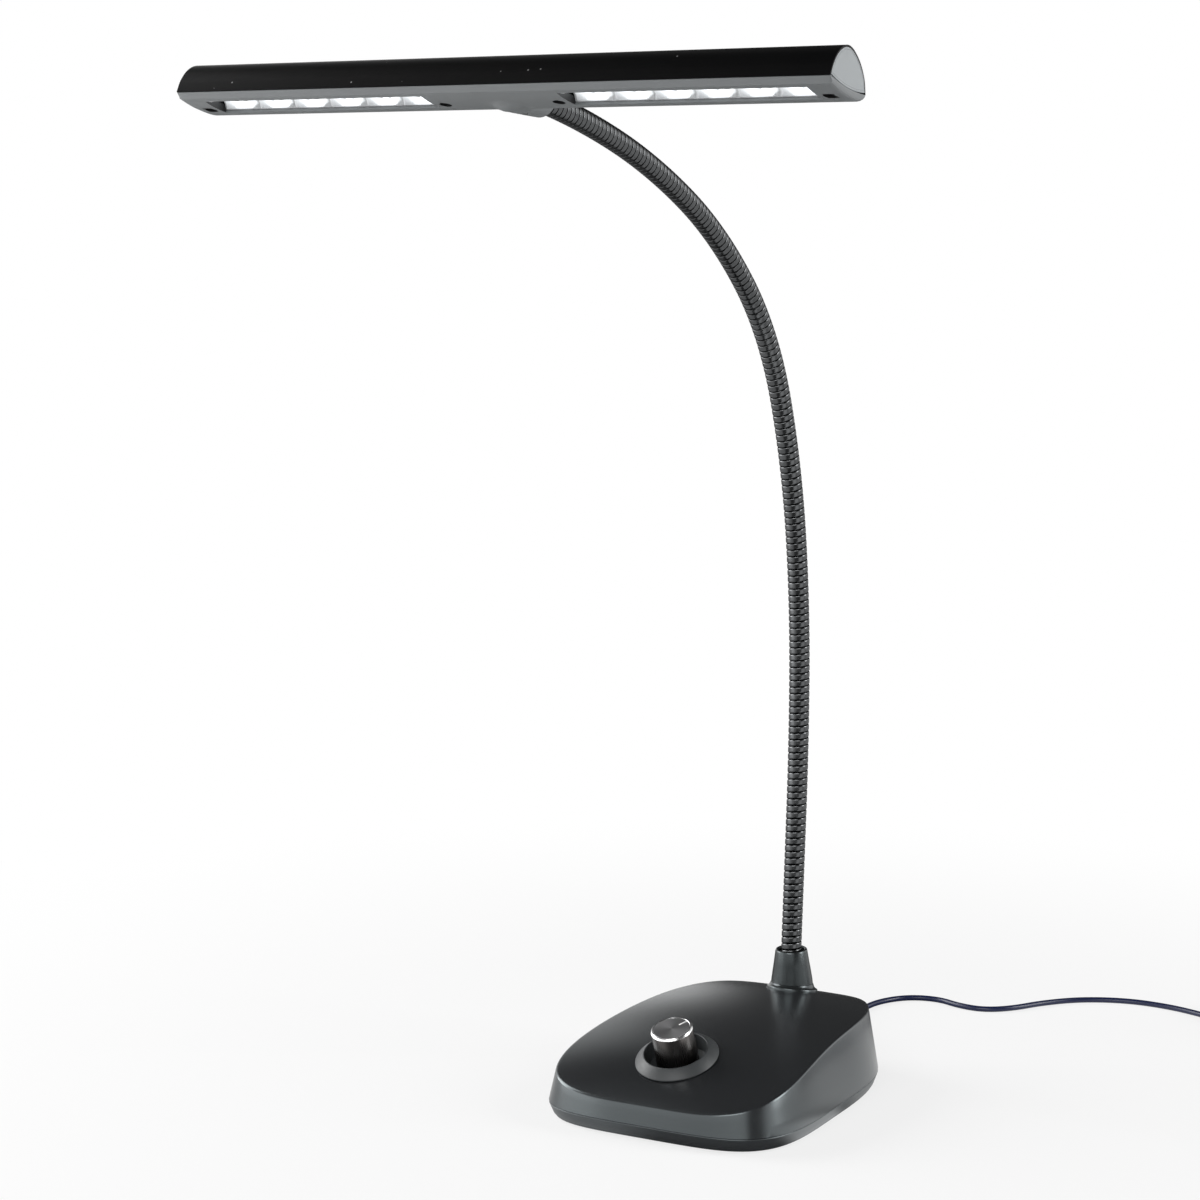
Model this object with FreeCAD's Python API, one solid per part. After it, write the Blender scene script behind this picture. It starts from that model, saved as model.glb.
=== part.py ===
import FreeCAD, Part
import math
import os

from FreeCAD import Vector

# Piano lamp: a wedge-shaped weighted base with a dimmer knob, a steel gooseneck
# and a long light head with two windows.  Millimetres.  +Z is up, +X runs along
# the head, -Y is the side of the player.  The origin is on the table, under the
# middle of the base.

# ---- driving dimensions ----------------------------------------------------

# base housing: two half superellipses in plan, narrower at the rear, with a domed top
BASE_WIDTH = 125.4
BASE_DEPTH = 166.5
FRONT_POWER = 4.27
REAR_POWER = 3.33
BASE_TAPER = 0.094
OUTLINE_POINTS = 48
WALL = 2.4
SEAM_HEIGHT = 7.4
SIDE_DRAFT = 10.6
REAR_DRAFT_SHARE = 0.5
PAN_INSET = 2.4
PAN_BOTTOM = 0.7
TOP_MID = 35.0
TOP_SLOPE = 6.6
TOP_BOW = -9.8
TOP_TWIST = 3.0
CROWN = 5.0
CROWN_POWER = 6
PAD_INSET = 5.0
TONGUE_WIDTH = 1.2
TONGUE_HEIGHT = 1.4
FIT_GAP = 0.2
# how far a cutter or a trimmed block goes past the face that it has to clear
CLEAR = 1.0

# ballast, screws and board inside the base
BALLAST_WIDTH = 76.0
BALLAST_DEPTH = 82.0
BALLAST_HEIGHT = 14.0
BALLAST_FROM_REAR = 67.2
BALLAST_CORNER = 8.0
BALLAST_SCREW_PITCH = 64.0
M4_RADIUS = 2.0
M4_HEAD_RADIUS = 3.6
M4_HEAD_RECESS = 1.2
CASE_SCREW_FRONT_INSET = (13.3, 19.8)
CASE_SCREW_REAR_INSET = (26.3, 17.8)
CASE_BOSS_RADIUS = 4.0
CASE_SCREW_LENGTH = 10.0
M3_RADIUS = 1.5
M3_HEAD_RADIUS = 2.8
M3_HEAD_HEIGHT = 1.8
BOARD_WIDTH = 58.0
BOARD_DEPTH = 40.0
BOARD_THICK = 1.6
BOARD_BEHIND = 2.0
SPACER_HEIGHT = 5.0
SPACER_RADIUS = 3.0
SPACER_INSET = 5.0
BLIND_END = 2.0
BOARD_SCREW_GRIP = 4.0
INDUCTOR = (5.0, 5.0)
CAPACITOR = (3.2, 8.0)
CHIP = (6.0, 5.0, 1.6)

# dimmer control on the sloping front of the base, in a raised ring with a well
CONTROL_FROM_FRONT = 33.6
CONTROL_TILT = 20.0
BEZEL_RADIUS = 19.9
BEZEL_FOOT = 0.3
BEZEL_EDGE = 0.6
BEZEL_RIM = 4.5
BEZEL_NECK_RADIUS = 18.7
WELL_RADIUS = 14.8
WELL_DRAFT = 0.6
WELL_DEPTH = 3.6
WELL_FLOOR = 1.6
KNOB_RADIUS = 10.0
KNOB_TOP = 16.5
KNOB_FOOT = -2.0
KNOB_CHAMFER = 1.1
KNOB_CAVITY_RADIUS = 7.4
KNOB_CAVITY_TOP = 4.0
DISC_THICK = 0.8
DISC_MARGIN = 0.5
POINTER_MARGIN = 0.4
POINTER_LENGTH = 4.2
POINTER_WIDTH = 1.0
POINTER_HEIGHT = 0.5
POINTER_ANGLE = -25.0
SHAFT_RADIUS = 3.0
SHAFT_FLAT = 2.2
SHAFT_TOP = 12.5
BUSH_RADIUS = 4.2
BUSH_TOP = 1.6
NUT_ACROSS_FLATS = 11.0
NUT_HEIGHT = 2.0
DIMMER_RADIUS = 8.5
DIMMER_HEIGHT = 8.0
RUN_GAP = 0.05

# conical socket that holds the foot of the gooseneck
SOCKET_FROM_REAR = 15.65
SOCKET_RISE = 20.53
SOCKET_FORWARD = 1.2
SOCKET_RIM_RADIUS = 7.75
SOCKET_FOOT_RADIUS = 10.6
SOCKET_MOUTH_RADIUS = 6.5
SOCKET_MOUTH_DEPTH = 4.0
SOCKET_LIP = 0.4
COLLAR_SAG = 0.5
COLLAR_TUCK = 0.3
COLLAR_RADIUS = 12.7
COLLAR_HEIGHT = 3.0
SEAT_DEPTH = 1.1
SEAT_PAD_THICK = 2.6
SEAT_PAD_MARGIN = 0.6
SPIGOT_RADIUS = 6.0
SPIGOT_LENGTH = 12.0
LOCK_NUT_ACROSS_FLATS = 15.0
LOCK_NUT_HEIGHT = 4.0
WASHER_RADIUS = 8.2
WASHER_THICK = 1.2

# gooseneck: eight sections of equal length, each an arc that turns forward
NECK_RADIUS = 5.0
NECK_BORE_RADIUS = 2.2
NECK_LEAN = -3.6
SECTION_LENGTH = 69.2
SECTION_TURNS = (0.0, 3.8, 8.0, 12.3, 26.8, 16.3, 9.5, 7.0)
NECK_FOOT_DEPTH = 15.0
NECK_HEAD_DEPTH = 11.0
BALL_RADIUS = 4.6
BALL_GAP = 0.25
CUP_START = 2.0
BALL_SHOULDER = 1.3
BALL_BORE_RADIUS = 1.9
BALL_PLUG_RADIUS = 2.9
BALL_PLUG_LENGTH = 1.5
BALL_SEAT = 0.2

# light head, in its own frame: y' across the chord, z' up from the chord
HEAD_LENGTH = 312.6
HEAD_REACH = 21.914
HEAD_DROP = 3.262
HEAD_PITCH = -2.4
HEAD_WALL = 1.5
COVER_ARCH = (
    (-15.4, 0.0), (-14.6, 3.0), (-13.6, 5.7), (-11.4, 9.2), (-9.0, 11.7), (-6.0, 13.7),
    (-2.6, 14.8), (1.3, 14.5), (5.2, 13.0), (8.6, 11.0), (12.0, 7.9), (14.4, 4.5), (16.0, 0.0))
STRIP_EDGE = (-13.2, -2.4)
BELLY = ((-13.2, -2.4), (-9.2, -3.4), (-4.0, -4.0), (2.0, -4.2), (8.0, -4.1), (12.5, -3.4), (15.0, -2.0))
CAP_THICK = 2.6
CAP_EDGE = 0.7
CAP_SAG = 1.9
CAP_PLUG = 1.4
WINDOW_INNER = 32.6
WINDOW_END_INSET = 12.0
WINDOW_FRONT = -10.3
WINDOW_REAR = 4.6
LEDGE_HEIGHT = -1.0
LEDGE_WIDTH = 1.2
FLANGE_THICK = 1.2
FLANGE_GAP = 0.1
CELLS = 6
REFLECTOR_WALL = 1.0
REFLECTOR_BOTTOM = -3.0
DIVIDER_BOTTOM = 1.0
REFLECTOR_TOP = 5.6
CELL_THROAT = 3.4
LENS_THICK = 0.8
LED_SIZE = 3.5
LED_HEIGHT = 0.7
LED_BOARD_THICK = 1.2
LED_BOARD_MARGIN = 1.5
HEAT_STRIP_THICK = 1.6
HEAT_STRIP_MARGIN = 2.5
HEAD_SCREW_INNER = 27.4
HEAD_SCREW_END_INSET = 7.3
HEAD_SCREW_Y = 0.5
PILLAR_RADIUS = 3.0
HEAD_SCREW_RADIUS = 1.4
HEAD_SCREW_HEAD = 2.3
HEAD_SCREW_RISE = 1.0
RECESS_RADIUS = 2.7
RECESS_DEPTH = 1.6
HEAD_SCREW_LENGTH = 9.0

# boss of the tray that clamps the end of the gooseneck
BOSS_RIM_RADIUS = 7.2
BOSS_LENGTH = 25.5
BOSS_ROOT_RADIUS = 9.9
BOSS_RIM_PAST_NECK = 8.2
BOSS_FRONT = 6.6
FERRULE_RADIUS = 6.0
CLAMP_HEAD_RISE = 0.8
FERRULE_LENGTH = 10.0
COVER_GAP = 0.25

# supply cord, its coil and the plug-in adapter
CORD_DIAMETER = 3.0
CORD_EXIT_Z = 7.4
GLAND_LENGTH = 16.0
GLAND_ROOT_RADIUS = 3.0
GLAND_TIP_RADIUS = 2.2
GLAND_FLANGE_RADIUS = 3.8
GLAND_FLANGE_THICK = 1.4
CORD_FLOOR = CORD_DIAMETER / 2
# places of the cord's line: along X, behind the base's rear edge, height
CORD_ROUTE = (
    (0.0, 23.75, CORD_EXIT_Z), (-1.2, 39.75, 5.2), (-3.8, 55.75, 2.4), (-8.5, 73.75, CORD_FLOOR),
    (-14.0, 93.75, CORD_FLOOR), (-12.5, 112.75, CORD_FLOOR), (-3.0, 128.75, CORD_FLOOR),
    (13.0, 133.25, CORD_FLOOR), (28.0, 126.25, CORD_FLOOR), (43.0, 125.25, CORD_FLOOR),
    (55.0, 135.75, CORD_FLOOR), (64.5, 154.75, CORD_FLOOR), (80.0, 172.75, CORD_FLOOR),
    (103.0, 182.75, CORD_FLOOR), (127.0, 181.75, CORD_FLOOR), (148.0, 174.75, CORD_FLOOR))
COIL_X = 177.0
COIL_BEHIND = 186.75
COIL_MEAN_RADIUS = 17.0
COIL_BUILD = 12.0
COIL_ENTRY_ANGLE = -115.0
ADAPTER_SIZE = (50.0, 34.0, 26.0)
ADAPTER_CORNER = 4.0
ADAPTER_GAP = 18.0
ADAPTER_RELIEF_LENGTH = 12.0
ADAPTER_RELIEF_ROOT = 3.6
PIN_SIZE = (17.0, 1.5, 6.4)
PIN_PITCH = 12.7

HALF_WIDTH = BASE_WIDTH / 2
HALF_DEPTH = BASE_DEPTH / 2
CONTROL_Y = CONTROL_FROM_FRONT - HALF_DEPTH
SOCKET_Y = HALF_DEPTH - SOCKET_FROM_REAR
BALLAST_CENTRE_Y = HALF_DEPTH - BALLAST_FROM_REAR
BOARD_CENTRE_Y = BALLAST_CENTRE_Y - BOARD_BEHIND
WINDOW_OUTER = HEAD_LENGTH / 2 - WINDOW_END_INSET
COIL_CENTRE = (COIL_X, HALF_DEPTH + COIL_BEHIND)
KNOB_EDGE = KNOB_RADIUS - KNOB_CHAMFER

X_AXIS = Vector(1, 0, 0)
Y_AXIS = Vector(0, 1, 0)
Z_AXIS = Vector(0, 0, 1)
ORIGIN = Vector(0, 0, 0)

os.makedirs("parts", exist_ok=True)


# ---- helpers ---------------------------------------------------------------

def save(name, shape):
    """Write one node, as a bare solid where it is only one."""
    solids = shape.Solids
    result = solids[0] if len(solids) == 1 else Part.makeCompound(solids)
    result.exportStep("parts/" + name + ".step")
    print(name, len(solids), "solid(s), volume", round(result.Volume, 1))


def revolved(profile):
    """Solid of revolution about Z from (radius, height) points."""
    points = [Vector(radius, 0, height) for radius, height in profile]
    face = Part.Face(Part.makePolygon(points + [points[0]]))
    return face.revolve(ORIGIN, Z_AXIS, 360)


def rod(radius, low, high, x=0.0, y=0.0):
    """Upright round bar between two heights."""
    return Part.makeCylinder(radius, high - low, Vector(x, y, low))


def hexagon(across_flats, low, high):
    """Upright hexagonal prism on the Z axis."""
    reach = across_flats / math.sqrt(3)
    corners = []
    for step in range(7):
        angle = math.radians(60 * step)
        corners.append(Vector(reach * math.cos(angle), reach * math.sin(angle), low))
    return Part.Face(Part.makePolygon(corners)).extrude(Vector(0, 0, high - low))


def rounded_box(width, depth, height, corner, centre):
    """Box with rounded upright edges; centre is the middle of its bottom."""
    box = Part.makeBox(width, depth, height, Vector(centre[0] - width / 2, centre[1] - depth / 2, centre[2]))
    upright = [edge for edge in box.Edges if abs(edge.tangentAt(edge.FirstParameter).z) > 0.9]
    return box.makeFillet(corner, upright)


def screw(shank, head, head_height, length):
    """Pan-head screw along +Z, with the underside of its head at height 0."""
    body = rod(shank, 0, length).fuse(rod(head, -head_height, 0))
    return body.removeSplitter()


def placed(shape, tilt, position):
    """A copy turned about X and then moved."""
    copy = shape.copy()
    copy.rotate(ORIGIN, X_AXIS, tilt)
    copy.translate(position)
    return copy


# ---- base housing ----------------------------------------------------------

def base_wire(inset, height):
    """Plan outline of the base at a height, drawn in by an inset and the draft above the seam."""
    draft = draft_inset(max(height, SEAM_HEIGHT))
    half_width = HALF_WIDTH - inset - draft
    front = HALF_DEPTH - inset - draft
    rear = HALF_DEPTH - inset - REAR_DRAFT_SHARE * draft
    points = []
    for step in range(OUTLINE_POINTS):
        angle = 2 * math.pi * (step + 0.5) / OUTLINE_POINTS
        power = 2 / (REAR_POWER if math.sin(angle) > 0 else FRONT_POWER)
        across = math.copysign(abs(math.cos(angle)) ** power, math.cos(angle))
        along = math.copysign(abs(math.sin(angle)) ** power, math.sin(angle))
        x = half_width * across * (1 - BASE_TAPER * along)
        y = (rear if along > 0 else front) * along
        points.append(Vector(x, y, height))
    curve = Part.BSplineCurve()
    curve.interpolate(Points=points, PeriodicFlag=True)
    return Part.Wire(curve.toShape())


def base_loft(low_inset, low, high_inset, high):
    """Drafted block between two plan outlines."""
    return Part.makeLoft([base_wire(low_inset, low), base_wire(high_inset, high)], True, True)


def top_height(x, y):
    """Height of the domed top over a point in plan."""
    along = y / HALF_DEPTH
    across = x / HALF_WIDTH
    edge = TOP_MID + TOP_SLOPE * along + TOP_BOW * along ** 2 + TOP_TWIST * along ** 3
    return edge + CROWN * (1 - across ** 2) * (1 - along ** CROWN_POWER)


def above_top(drop):
    """Everything above the domed top, lowered by a distance."""
    reach_x = HALF_WIDTH + 3 * CLEAR
    reach_y = HALF_DEPTH + 3 * CLEAR
    grid = []
    for i in range(9):
        x = reach_x * (i / 4 - 1)
        grid.append([Vector(x, y, top_height(x, y) - drop)
                     for y in (reach_y * (j / 8 - 1) for j in range(17))])
    surface = Part.BSplineSurface()
    surface.interpolate(grid)
    return surface.toShape().extrude(Vector(0, 0, 2 * TOP_MID))


def pan_inset(height):
    """How far the pan's side has come in at a height below the seam."""
    return PAN_INSET * (SEAM_HEIGHT - height) / (SEAM_HEIGHT - PAN_BOTTOM)


def draft_inset(height):
    """How far the drafted side has come in at a height above the seam."""
    return (height - SEAM_HEIGHT) * math.tan(math.radians(SIDE_DRAFT))


def case_screw_places():
    """The four screws that close the case."""
    front = (HALF_WIDTH - CASE_SCREW_FRONT_INSET[0], CASE_SCREW_FRONT_INSET[1] - HALF_DEPTH)
    rear = (HALF_WIDTH - CASE_SCREW_REAR_INSET[0], HALF_DEPTH - CASE_SCREW_REAR_INSET[1])
    return [(side * x, y) for x, y in (front, rear) for side in (-1, 1)]


CONTROL_POINT = Vector(0, CONTROL_Y, top_height(0, CONTROL_Y))
SOCKET_SLOPE = math.degrees(math.atan((top_height(0, SOCKET_Y + 1) - top_height(0, SOCKET_Y - 1)) / 2))
SOCKET_POINT = Vector(0, SOCKET_Y, top_height(0, SOCKET_Y))
NECK_FOOT = SOCKET_POINT + Vector(0, -SOCKET_FORWARD, SOCKET_RISE)
LOFT_TOP = TOP_MID + TOP_SLOPE + CROWN + 2 * CLEAR
PAN_FLOOR = PAN_BOTTOM + WALL
EXIT_Y = HALF_DEPTH - pan_inset(CORD_EXIT_Z)


def at_socket(shape):
    """Set a shape drawn about Z square on the top, at the neck's socket."""
    return placed(shape, SOCKET_SLOPE, SOCKET_POINT)


def at_control(shape):
    """Set a shape drawn about Z square on the top, at the dimmer."""
    return placed(shape, CONTROL_TILT, CONTROL_POINT)


def make_base_cover():
    """Upper shell: drafted sides, domed top, openings for control and socket."""
    outer = base_loft(0, SEAM_HEIGHT, 0, LOFT_TOP).cut(above_top(0))
    cavity = base_loft(WALL, SEAM_HEIGHT, WALL, LOFT_TOP).cut(above_top(WALL))
    post_room = base_loft(PAN_INSET + WALL + FIT_GAP, 0, WALL / 2, LOFT_TOP).cut(above_top(WALL / 2))
    shell = outer.cut(cavity)
    for x, y in case_screw_places():
        post = rod(CASE_BOSS_RADIUS, PAN_FLOOR + FIT_GAP, LOFT_TOP, x, y)
        shell = shell.fuse(post.common(post_room))
    for x, y in case_screw_places():
        shell = shell.cut(rod(M3_RADIUS, PAN_FLOOR, PAN_FLOOR + CASE_SCREW_LENGTH + CLEAR, x, y))
    seat_pad = rod(WASHER_RADIUS + SEAT_PAD_MARGIN, -SEAT_DEPTH - SEAT_PAD_THICK, 0)
    shell = shell.fuse(at_socket(seat_pad).common(outer))
    for place, radius, seat_radius, depth in (
            (at_control, BEZEL_NECK_RADIUS, BEZEL_RADIUS, 0),
            (at_socket, SPIGOT_RADIUS, COLLAR_RADIUS, SEAT_DEPTH)):
        shell = shell.cut(place(rod(radius + FIT_GAP, -2 * SPIGOT_LENGTH, 2 * SPIGOT_LENGTH)))
        shell = shell.cut(place(rod(seat_radius + FIT_GAP, -depth, 2 * SPIGOT_LENGTH)))
    return shell.cut(cord_exit())


def make_base_pan():
    """Lower shell with a tongue that centres the cover."""
    tongue_low = SEAM_HEIGHT - 2 * TONGUE_HEIGHT
    tongue_out = WALL + FIT_GAP
    tongue_in = tongue_out + TONGUE_WIDTH
    block = base_loft(PAN_INSET, PAN_BOTTOM, 0, SEAM_HEIGHT)
    block = block.fuse(base_loft(tongue_out, SEAM_HEIGHT, tongue_out, SEAM_HEIGHT + TONGUE_HEIGHT))
    cavity = base_loft(PAN_INSET + WALL, PAN_FLOOR, pan_inset(tongue_low) + WALL, tongue_low)
    throat = base_loft(tongue_in, PAN_FLOOR + TONGUE_HEIGHT, tongue_in, SEAM_HEIGHT)
    pan = block.cut(cavity.fuse([throat, base_loft(tongue_in, SEAM_HEIGHT, tongue_in, LOFT_TOP)]))
    for x, y in case_screw_places():
        pan = pan.cut(rod(M3_RADIUS + FIT_GAP, 0, SEAM_HEIGHT, x, y))
        pan = pan.cut(rod(M3_HEAD_RADIUS + FIT_GAP, 0, PAN_BOTTOM + M3_HEAD_HEIGHT, x, y))
        pan = pan.cut(rod(CASE_BOSS_RADIUS + FIT_GAP, PAN_FLOOR, 2 * SEAM_HEIGHT, x, y))
    for y in ballast_screw_ys():
        pan = pan.cut(rod(M4_RADIUS + FIT_GAP, 0, SEAM_HEIGHT, 0, y))
        pan = pan.cut(rod(M4_HEAD_RADIUS + FIT_GAP, 0, PAN_BOTTOM + M4_HEAD_RECESS, 0, y))
    return pan.cut(cord_exit())


def cord_exit():
    """Stepped hole for the cord's gland, half in each shell."""
    inside = Vector(0, EXIT_Y - 4 * WALL, CORD_EXIT_Z)
    flange_room = Part.makeCylinder(GLAND_FLANGE_RADIUS + FIT_GAP, 3 * WALL, inside, Y_AXIS)
    return flange_room.fuse(Part.makeCylinder(GLAND_ROOT_RADIUS, 6 * WALL, inside, Y_AXIS))


def ballast_screw_ys():
    """Where the two ballast screws stand along the base."""
    return (BALLAST_CENTRE_Y - BALLAST_SCREW_PITCH / 2, BALLAST_CENTRE_Y + BALLAST_SCREW_PITCH / 2)


def make_ballast():
    """Iron plate on the floor of the pan."""
    plate = rounded_box(BALLAST_WIDTH, BALLAST_DEPTH, BALLAST_HEIGHT, BALLAST_CORNER,
                        (0, BALLAST_CENTRE_Y, PAN_FLOOR))
    for y in ballast_screw_ys():
        plate = plate.cut(rod(M4_RADIUS, 0, BALLAST_TOP - BLIND_END, 0, y))
    for x, y in spacer_places():
        plate = plate.cut(rod(M3_RADIUS, BALLAST_TOP - BOARD_SCREW_GRIP - CLEAR, BALLAST_TOP + CLEAR, x, y))
    return plate


def spacer_places():
    """The four spacers under the driver board."""
    dx = BOARD_WIDTH / 2 - SPACER_INSET
    dy = BOARD_DEPTH / 2 - SPACER_INSET
    return [(i * dx, BOARD_CENTRE_Y + j * dy) for i in (-1, 1) for j in (-1, 1)]


BALLAST_TOP = PAN_FLOOR + BALLAST_HEIGHT
BOARD_BOTTOM = BALLAST_TOP + SPACER_HEIGHT


def save_base():
    """Housing, ballast, board and their screws."""
    save("base_cover", make_base_cover())
    save("base_pan", make_base_pan())
    pad = base_loft(PAN_INSET + PAD_INSET, 0, PAN_INSET + PAD_INSET, PAN_BOTTOM)
    save("base_pad", pad)
    save("ballast_plate", make_ballast())

    case_screws = []
    for x, y in case_screw_places():
        one = screw(M3_RADIUS, M3_HEAD_RADIUS, M3_HEAD_HEIGHT - FIT_GAP, CASE_SCREW_LENGTH)
        one.translate(Vector(x, y, PAN_BOTTOM + M3_HEAD_HEIGHT))
        case_screws.append(one)
    save("case_screws", Part.makeCompound(case_screws))

    ballast_screws = []
    for y in ballast_screw_ys():
        one = screw(M4_RADIUS, M4_HEAD_RADIUS, M4_HEAD_RECESS - FIT_GAP, BALLAST_HEIGHT - BLIND_END)
        one.translate(Vector(0, y, PAN_BOTTOM + M4_HEAD_RECESS))
        ballast_screws.append(one)
    save("ballast_screws", Part.makeCompound(ballast_screws))

    spacers = []
    board_screws = []
    board = Part.makeBox(BOARD_WIDTH, BOARD_DEPTH, BOARD_THICK,
                         Vector(-BOARD_WIDTH / 2, BOARD_CENTRE_Y - BOARD_DEPTH / 2, BOARD_BOTTOM))
    for x, y in spacer_places():
        spacer = rod(SPACER_RADIUS, BALLAST_TOP, BOARD_BOTTOM, x, y)
        spacers.append(spacer.cut(rod(M3_RADIUS, BALLAST_TOP, BOARD_BOTTOM, x, y)))
        board = board.cut(rod(M3_RADIUS, BOARD_BOTTOM, BOARD_BOTTOM + BOARD_THICK, x, y))
        one = screw(M3_RADIUS, M3_HEAD_RADIUS, M3_HEAD_HEIGHT, SPACER_HEIGHT + BOARD_THICK + BOARD_SCREW_GRIP)
        one.rotate(ORIGIN, X_AXIS, 180)
        one.translate(Vector(x, y, BOARD_BOTTOM + BOARD_THICK))
        board_screws.append(one)
    save("driver_board", board)
    save("board_spacers", Part.makeCompound(spacers))
    save("board_screws", Part.makeCompound(board_screws))
    save("driver_parts", make_driver_parts())


def make_driver_parts():
    """Inductor, two capacitors and a chip that stand on the board."""
    top = BOARD_BOTTOM + BOARD_THICK
    x, y = BOARD_WIDTH / 6, BOARD_DEPTH / 5
    inductor = rod(INDUCTOR[0], top, top + INDUCTOR[1], -x, BOARD_CENTRE_Y)
    radius, height = CAPACITOR
    capacitors = [rod(radius, top, top + height, place, BOARD_CENTRE_Y - y) for place in (x / 2, 1.5 * x)]
    chip = Part.makeBox(*CHIP, Vector(x, BOARD_CENTRE_Y + y / 2, top))
    return Part.makeCompound([inductor, chip] + capacitors)


# ---- dimmer control --------------------------------------------------------

def save_control():
    """Bezel, dimmer and knob, drawn about Z and then set on the sloping top."""
    floor = -WELL_DEPTH
    under = floor - WELL_FLOOR
    bezel = revolved((
        (BUSH_RADIUS + FIT_GAP, under), (BEZEL_NECK_RADIUS, under), (BEZEL_NECK_RADIUS, BEZEL_FOOT),
        (BEZEL_RADIUS, BEZEL_FOOT), (BEZEL_RADIUS, BEZEL_FOOT + BEZEL_EDGE),
        (WELL_RADIUS + BEZEL_EDGE, BEZEL_RIM), (WELL_RADIUS, BEZEL_RIM - BEZEL_EDGE / 2),
        (WELL_RADIUS - WELL_DRAFT, floor), (BUSH_RADIUS + FIT_GAP, floor)))
    save("dimmer_bezel", at_control(bezel))

    body_top = under
    body = rod(DIMMER_RADIUS, body_top - DIMMER_HEIGHT, body_top)
    bush = rod(BUSH_RADIUS, body_top, BUSH_TOP)
    shaft_low = body_top - DIMMER_HEIGHT + BLIND_END
    hole = rod(SHAFT_RADIUS + RUN_GAP, shaft_low - RUN_GAP, BUSH_TOP + CLEAR)
    save("dimmer_body", at_control(body.fuse(bush).cut(hole).removeSplitter()))
    nut = hexagon(NUT_ACROSS_FLATS, floor, floor + NUT_HEIGHT)
    save("dimmer_nut", at_control(nut.cut(rod(BUSH_RADIUS, floor - CLEAR, BUSH_TOP + CLEAR))))

    flat = Part.makeBox(2 * SHAFT_RADIUS, SHAFT_RADIUS, SHAFT_TOP - KNOB_CAVITY_TOP,
                        Vector(-SHAFT_RADIUS, SHAFT_FLAT, KNOB_CAVITY_TOP))
    shaft = rod(SHAFT_RADIUS, shaft_low, SHAFT_TOP).cut(flat)
    save("dimmer_shaft", at_control(shaft))

    knob = revolved((
        (0, KNOB_FOOT), (KNOB_RADIUS, KNOB_FOOT), (KNOB_RADIUS, KNOB_TOP - KNOB_CHAMFER),
        (KNOB_EDGE, KNOB_TOP), (0, KNOB_TOP)))
    knob = knob.cut(rod(KNOB_CAVITY_RADIUS, KNOB_FOOT - CLEAR, KNOB_CAVITY_TOP))
    knob = knob.cut(shaft.common(rod(SHAFT_RADIUS, KNOB_CAVITY_TOP, SHAFT_TOP)))
    knob = knob.cut(rod(KNOB_EDGE - DISC_MARGIN, KNOB_TOP - DISC_THICK, KNOB_TOP + CLEAR))
    grub_height = (KNOB_CAVITY_TOP + SHAFT_TOP) / 2
    grub_place = Vector(0, SHAFT_FLAT, grub_height)
    grub = Part.makeCylinder(M3_RADIUS, KNOB_RADIUS - SHAFT_FLAT - CLEAR, grub_place, Y_AXIS)
    grub_hole = Part.makeCylinder(M3_RADIUS, KNOB_RADIUS, grub_place, Y_AXIS)
    save("knob_body", at_control(knob.cut(grub_hole)))
    save("knob_grub_screw", at_control(grub))

    disc = rod(KNOB_EDGE - DISC_MARGIN, KNOB_TOP - DISC_THICK, KNOB_TOP)
    outer_end = KNOB_EDGE - DISC_MARGIN - POINTER_MARGIN
    pointer = Part.makeBox(POINTER_WIDTH, POINTER_LENGTH, POINTER_HEIGHT,
                           Vector(-POINTER_WIDTH / 2, outer_end - POINTER_LENGTH, KNOB_TOP - POINTER_HEIGHT))
    pointer.rotate(ORIGIN, Z_AXIS, POINTER_ANGLE)
    save("knob_disc", at_control(disc.cut(pointer)))
    save("knob_pointer", at_control(pointer))


# ---- gooseneck -------------------------------------------------------------

def heading(angle):
    """Direction of the neck at an angle forward of upright."""
    return Vector(0, -math.sin(math.radians(angle)), math.cos(math.radians(angle)))


def inward(angle):
    """Direction towards which the neck curves."""
    return Vector(0, -math.cos(math.radians(angle)), -math.sin(math.radians(angle)))


def neck_point(point, angle, turn, distance):
    """Point and heading angle at a distance along an arc section."""
    if turn == 0:
        return point + heading(angle) * distance, angle
    radius = SECTION_LENGTH / math.radians(turn)
    centre = point + inward(angle) * radius
    turned = angle + math.degrees(distance / radius)
    return centre - inward(turned) * radius, turned


def neck_bar(section_radius, point, angle, turn, start, end):
    """Round bar along part of an arc section."""
    low, low_angle = neck_point(point, angle, turn, start)
    disc = Part.Face(Part.Wire(Part.makeCircle(section_radius, low, heading(low_angle))))
    if turn == 0:
        return disc.extrude(heading(angle) * (end - start))
    radius = SECTION_LENGTH / math.radians(turn)
    centre = point + inward(angle) * radius
    return disc.revolve(centre, X_AXIS, math.degrees((end - start) / radius))


def neck_tube(point, angle, turn, start, end):
    """Tube along part of an arc section."""
    outer = neck_bar(NECK_RADIUS, point, angle, turn, start, end)
    return outer.cut(neck_bar(NECK_BORE_RADIUS, point, angle, turn, start, end))


def neck_joints():
    """Start point and heading angle of every section, and of the neck's end."""
    point = NECK_FOOT
    angle = NECK_LEAN
    stations = [(point, angle)]
    for turn in SECTION_TURNS:
        point, angle = neck_point(point, angle, turn, SECTION_LENGTH)
        stations.append((point, angle))
    return stations


STATIONS = neck_joints()


def ball_end():
    """Ball about the origin with a plug below it, bored along Z for the lead."""
    flat = -BALL_SHOULDER - BALL_SEAT
    low = flat - BALL_PLUG_LENGTH
    ball = Part.makeSphere(BALL_RADIUS).cut(rod(BALL_RADIUS, -2 * BALL_RADIUS, flat))
    plug = rod(BALL_PLUG_RADIUS, low, 0)
    return ball.fuse(plug).cut(rod(BALL_BORE_RADIUS, low - CLEAR, 2 * BALL_RADIUS))


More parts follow.
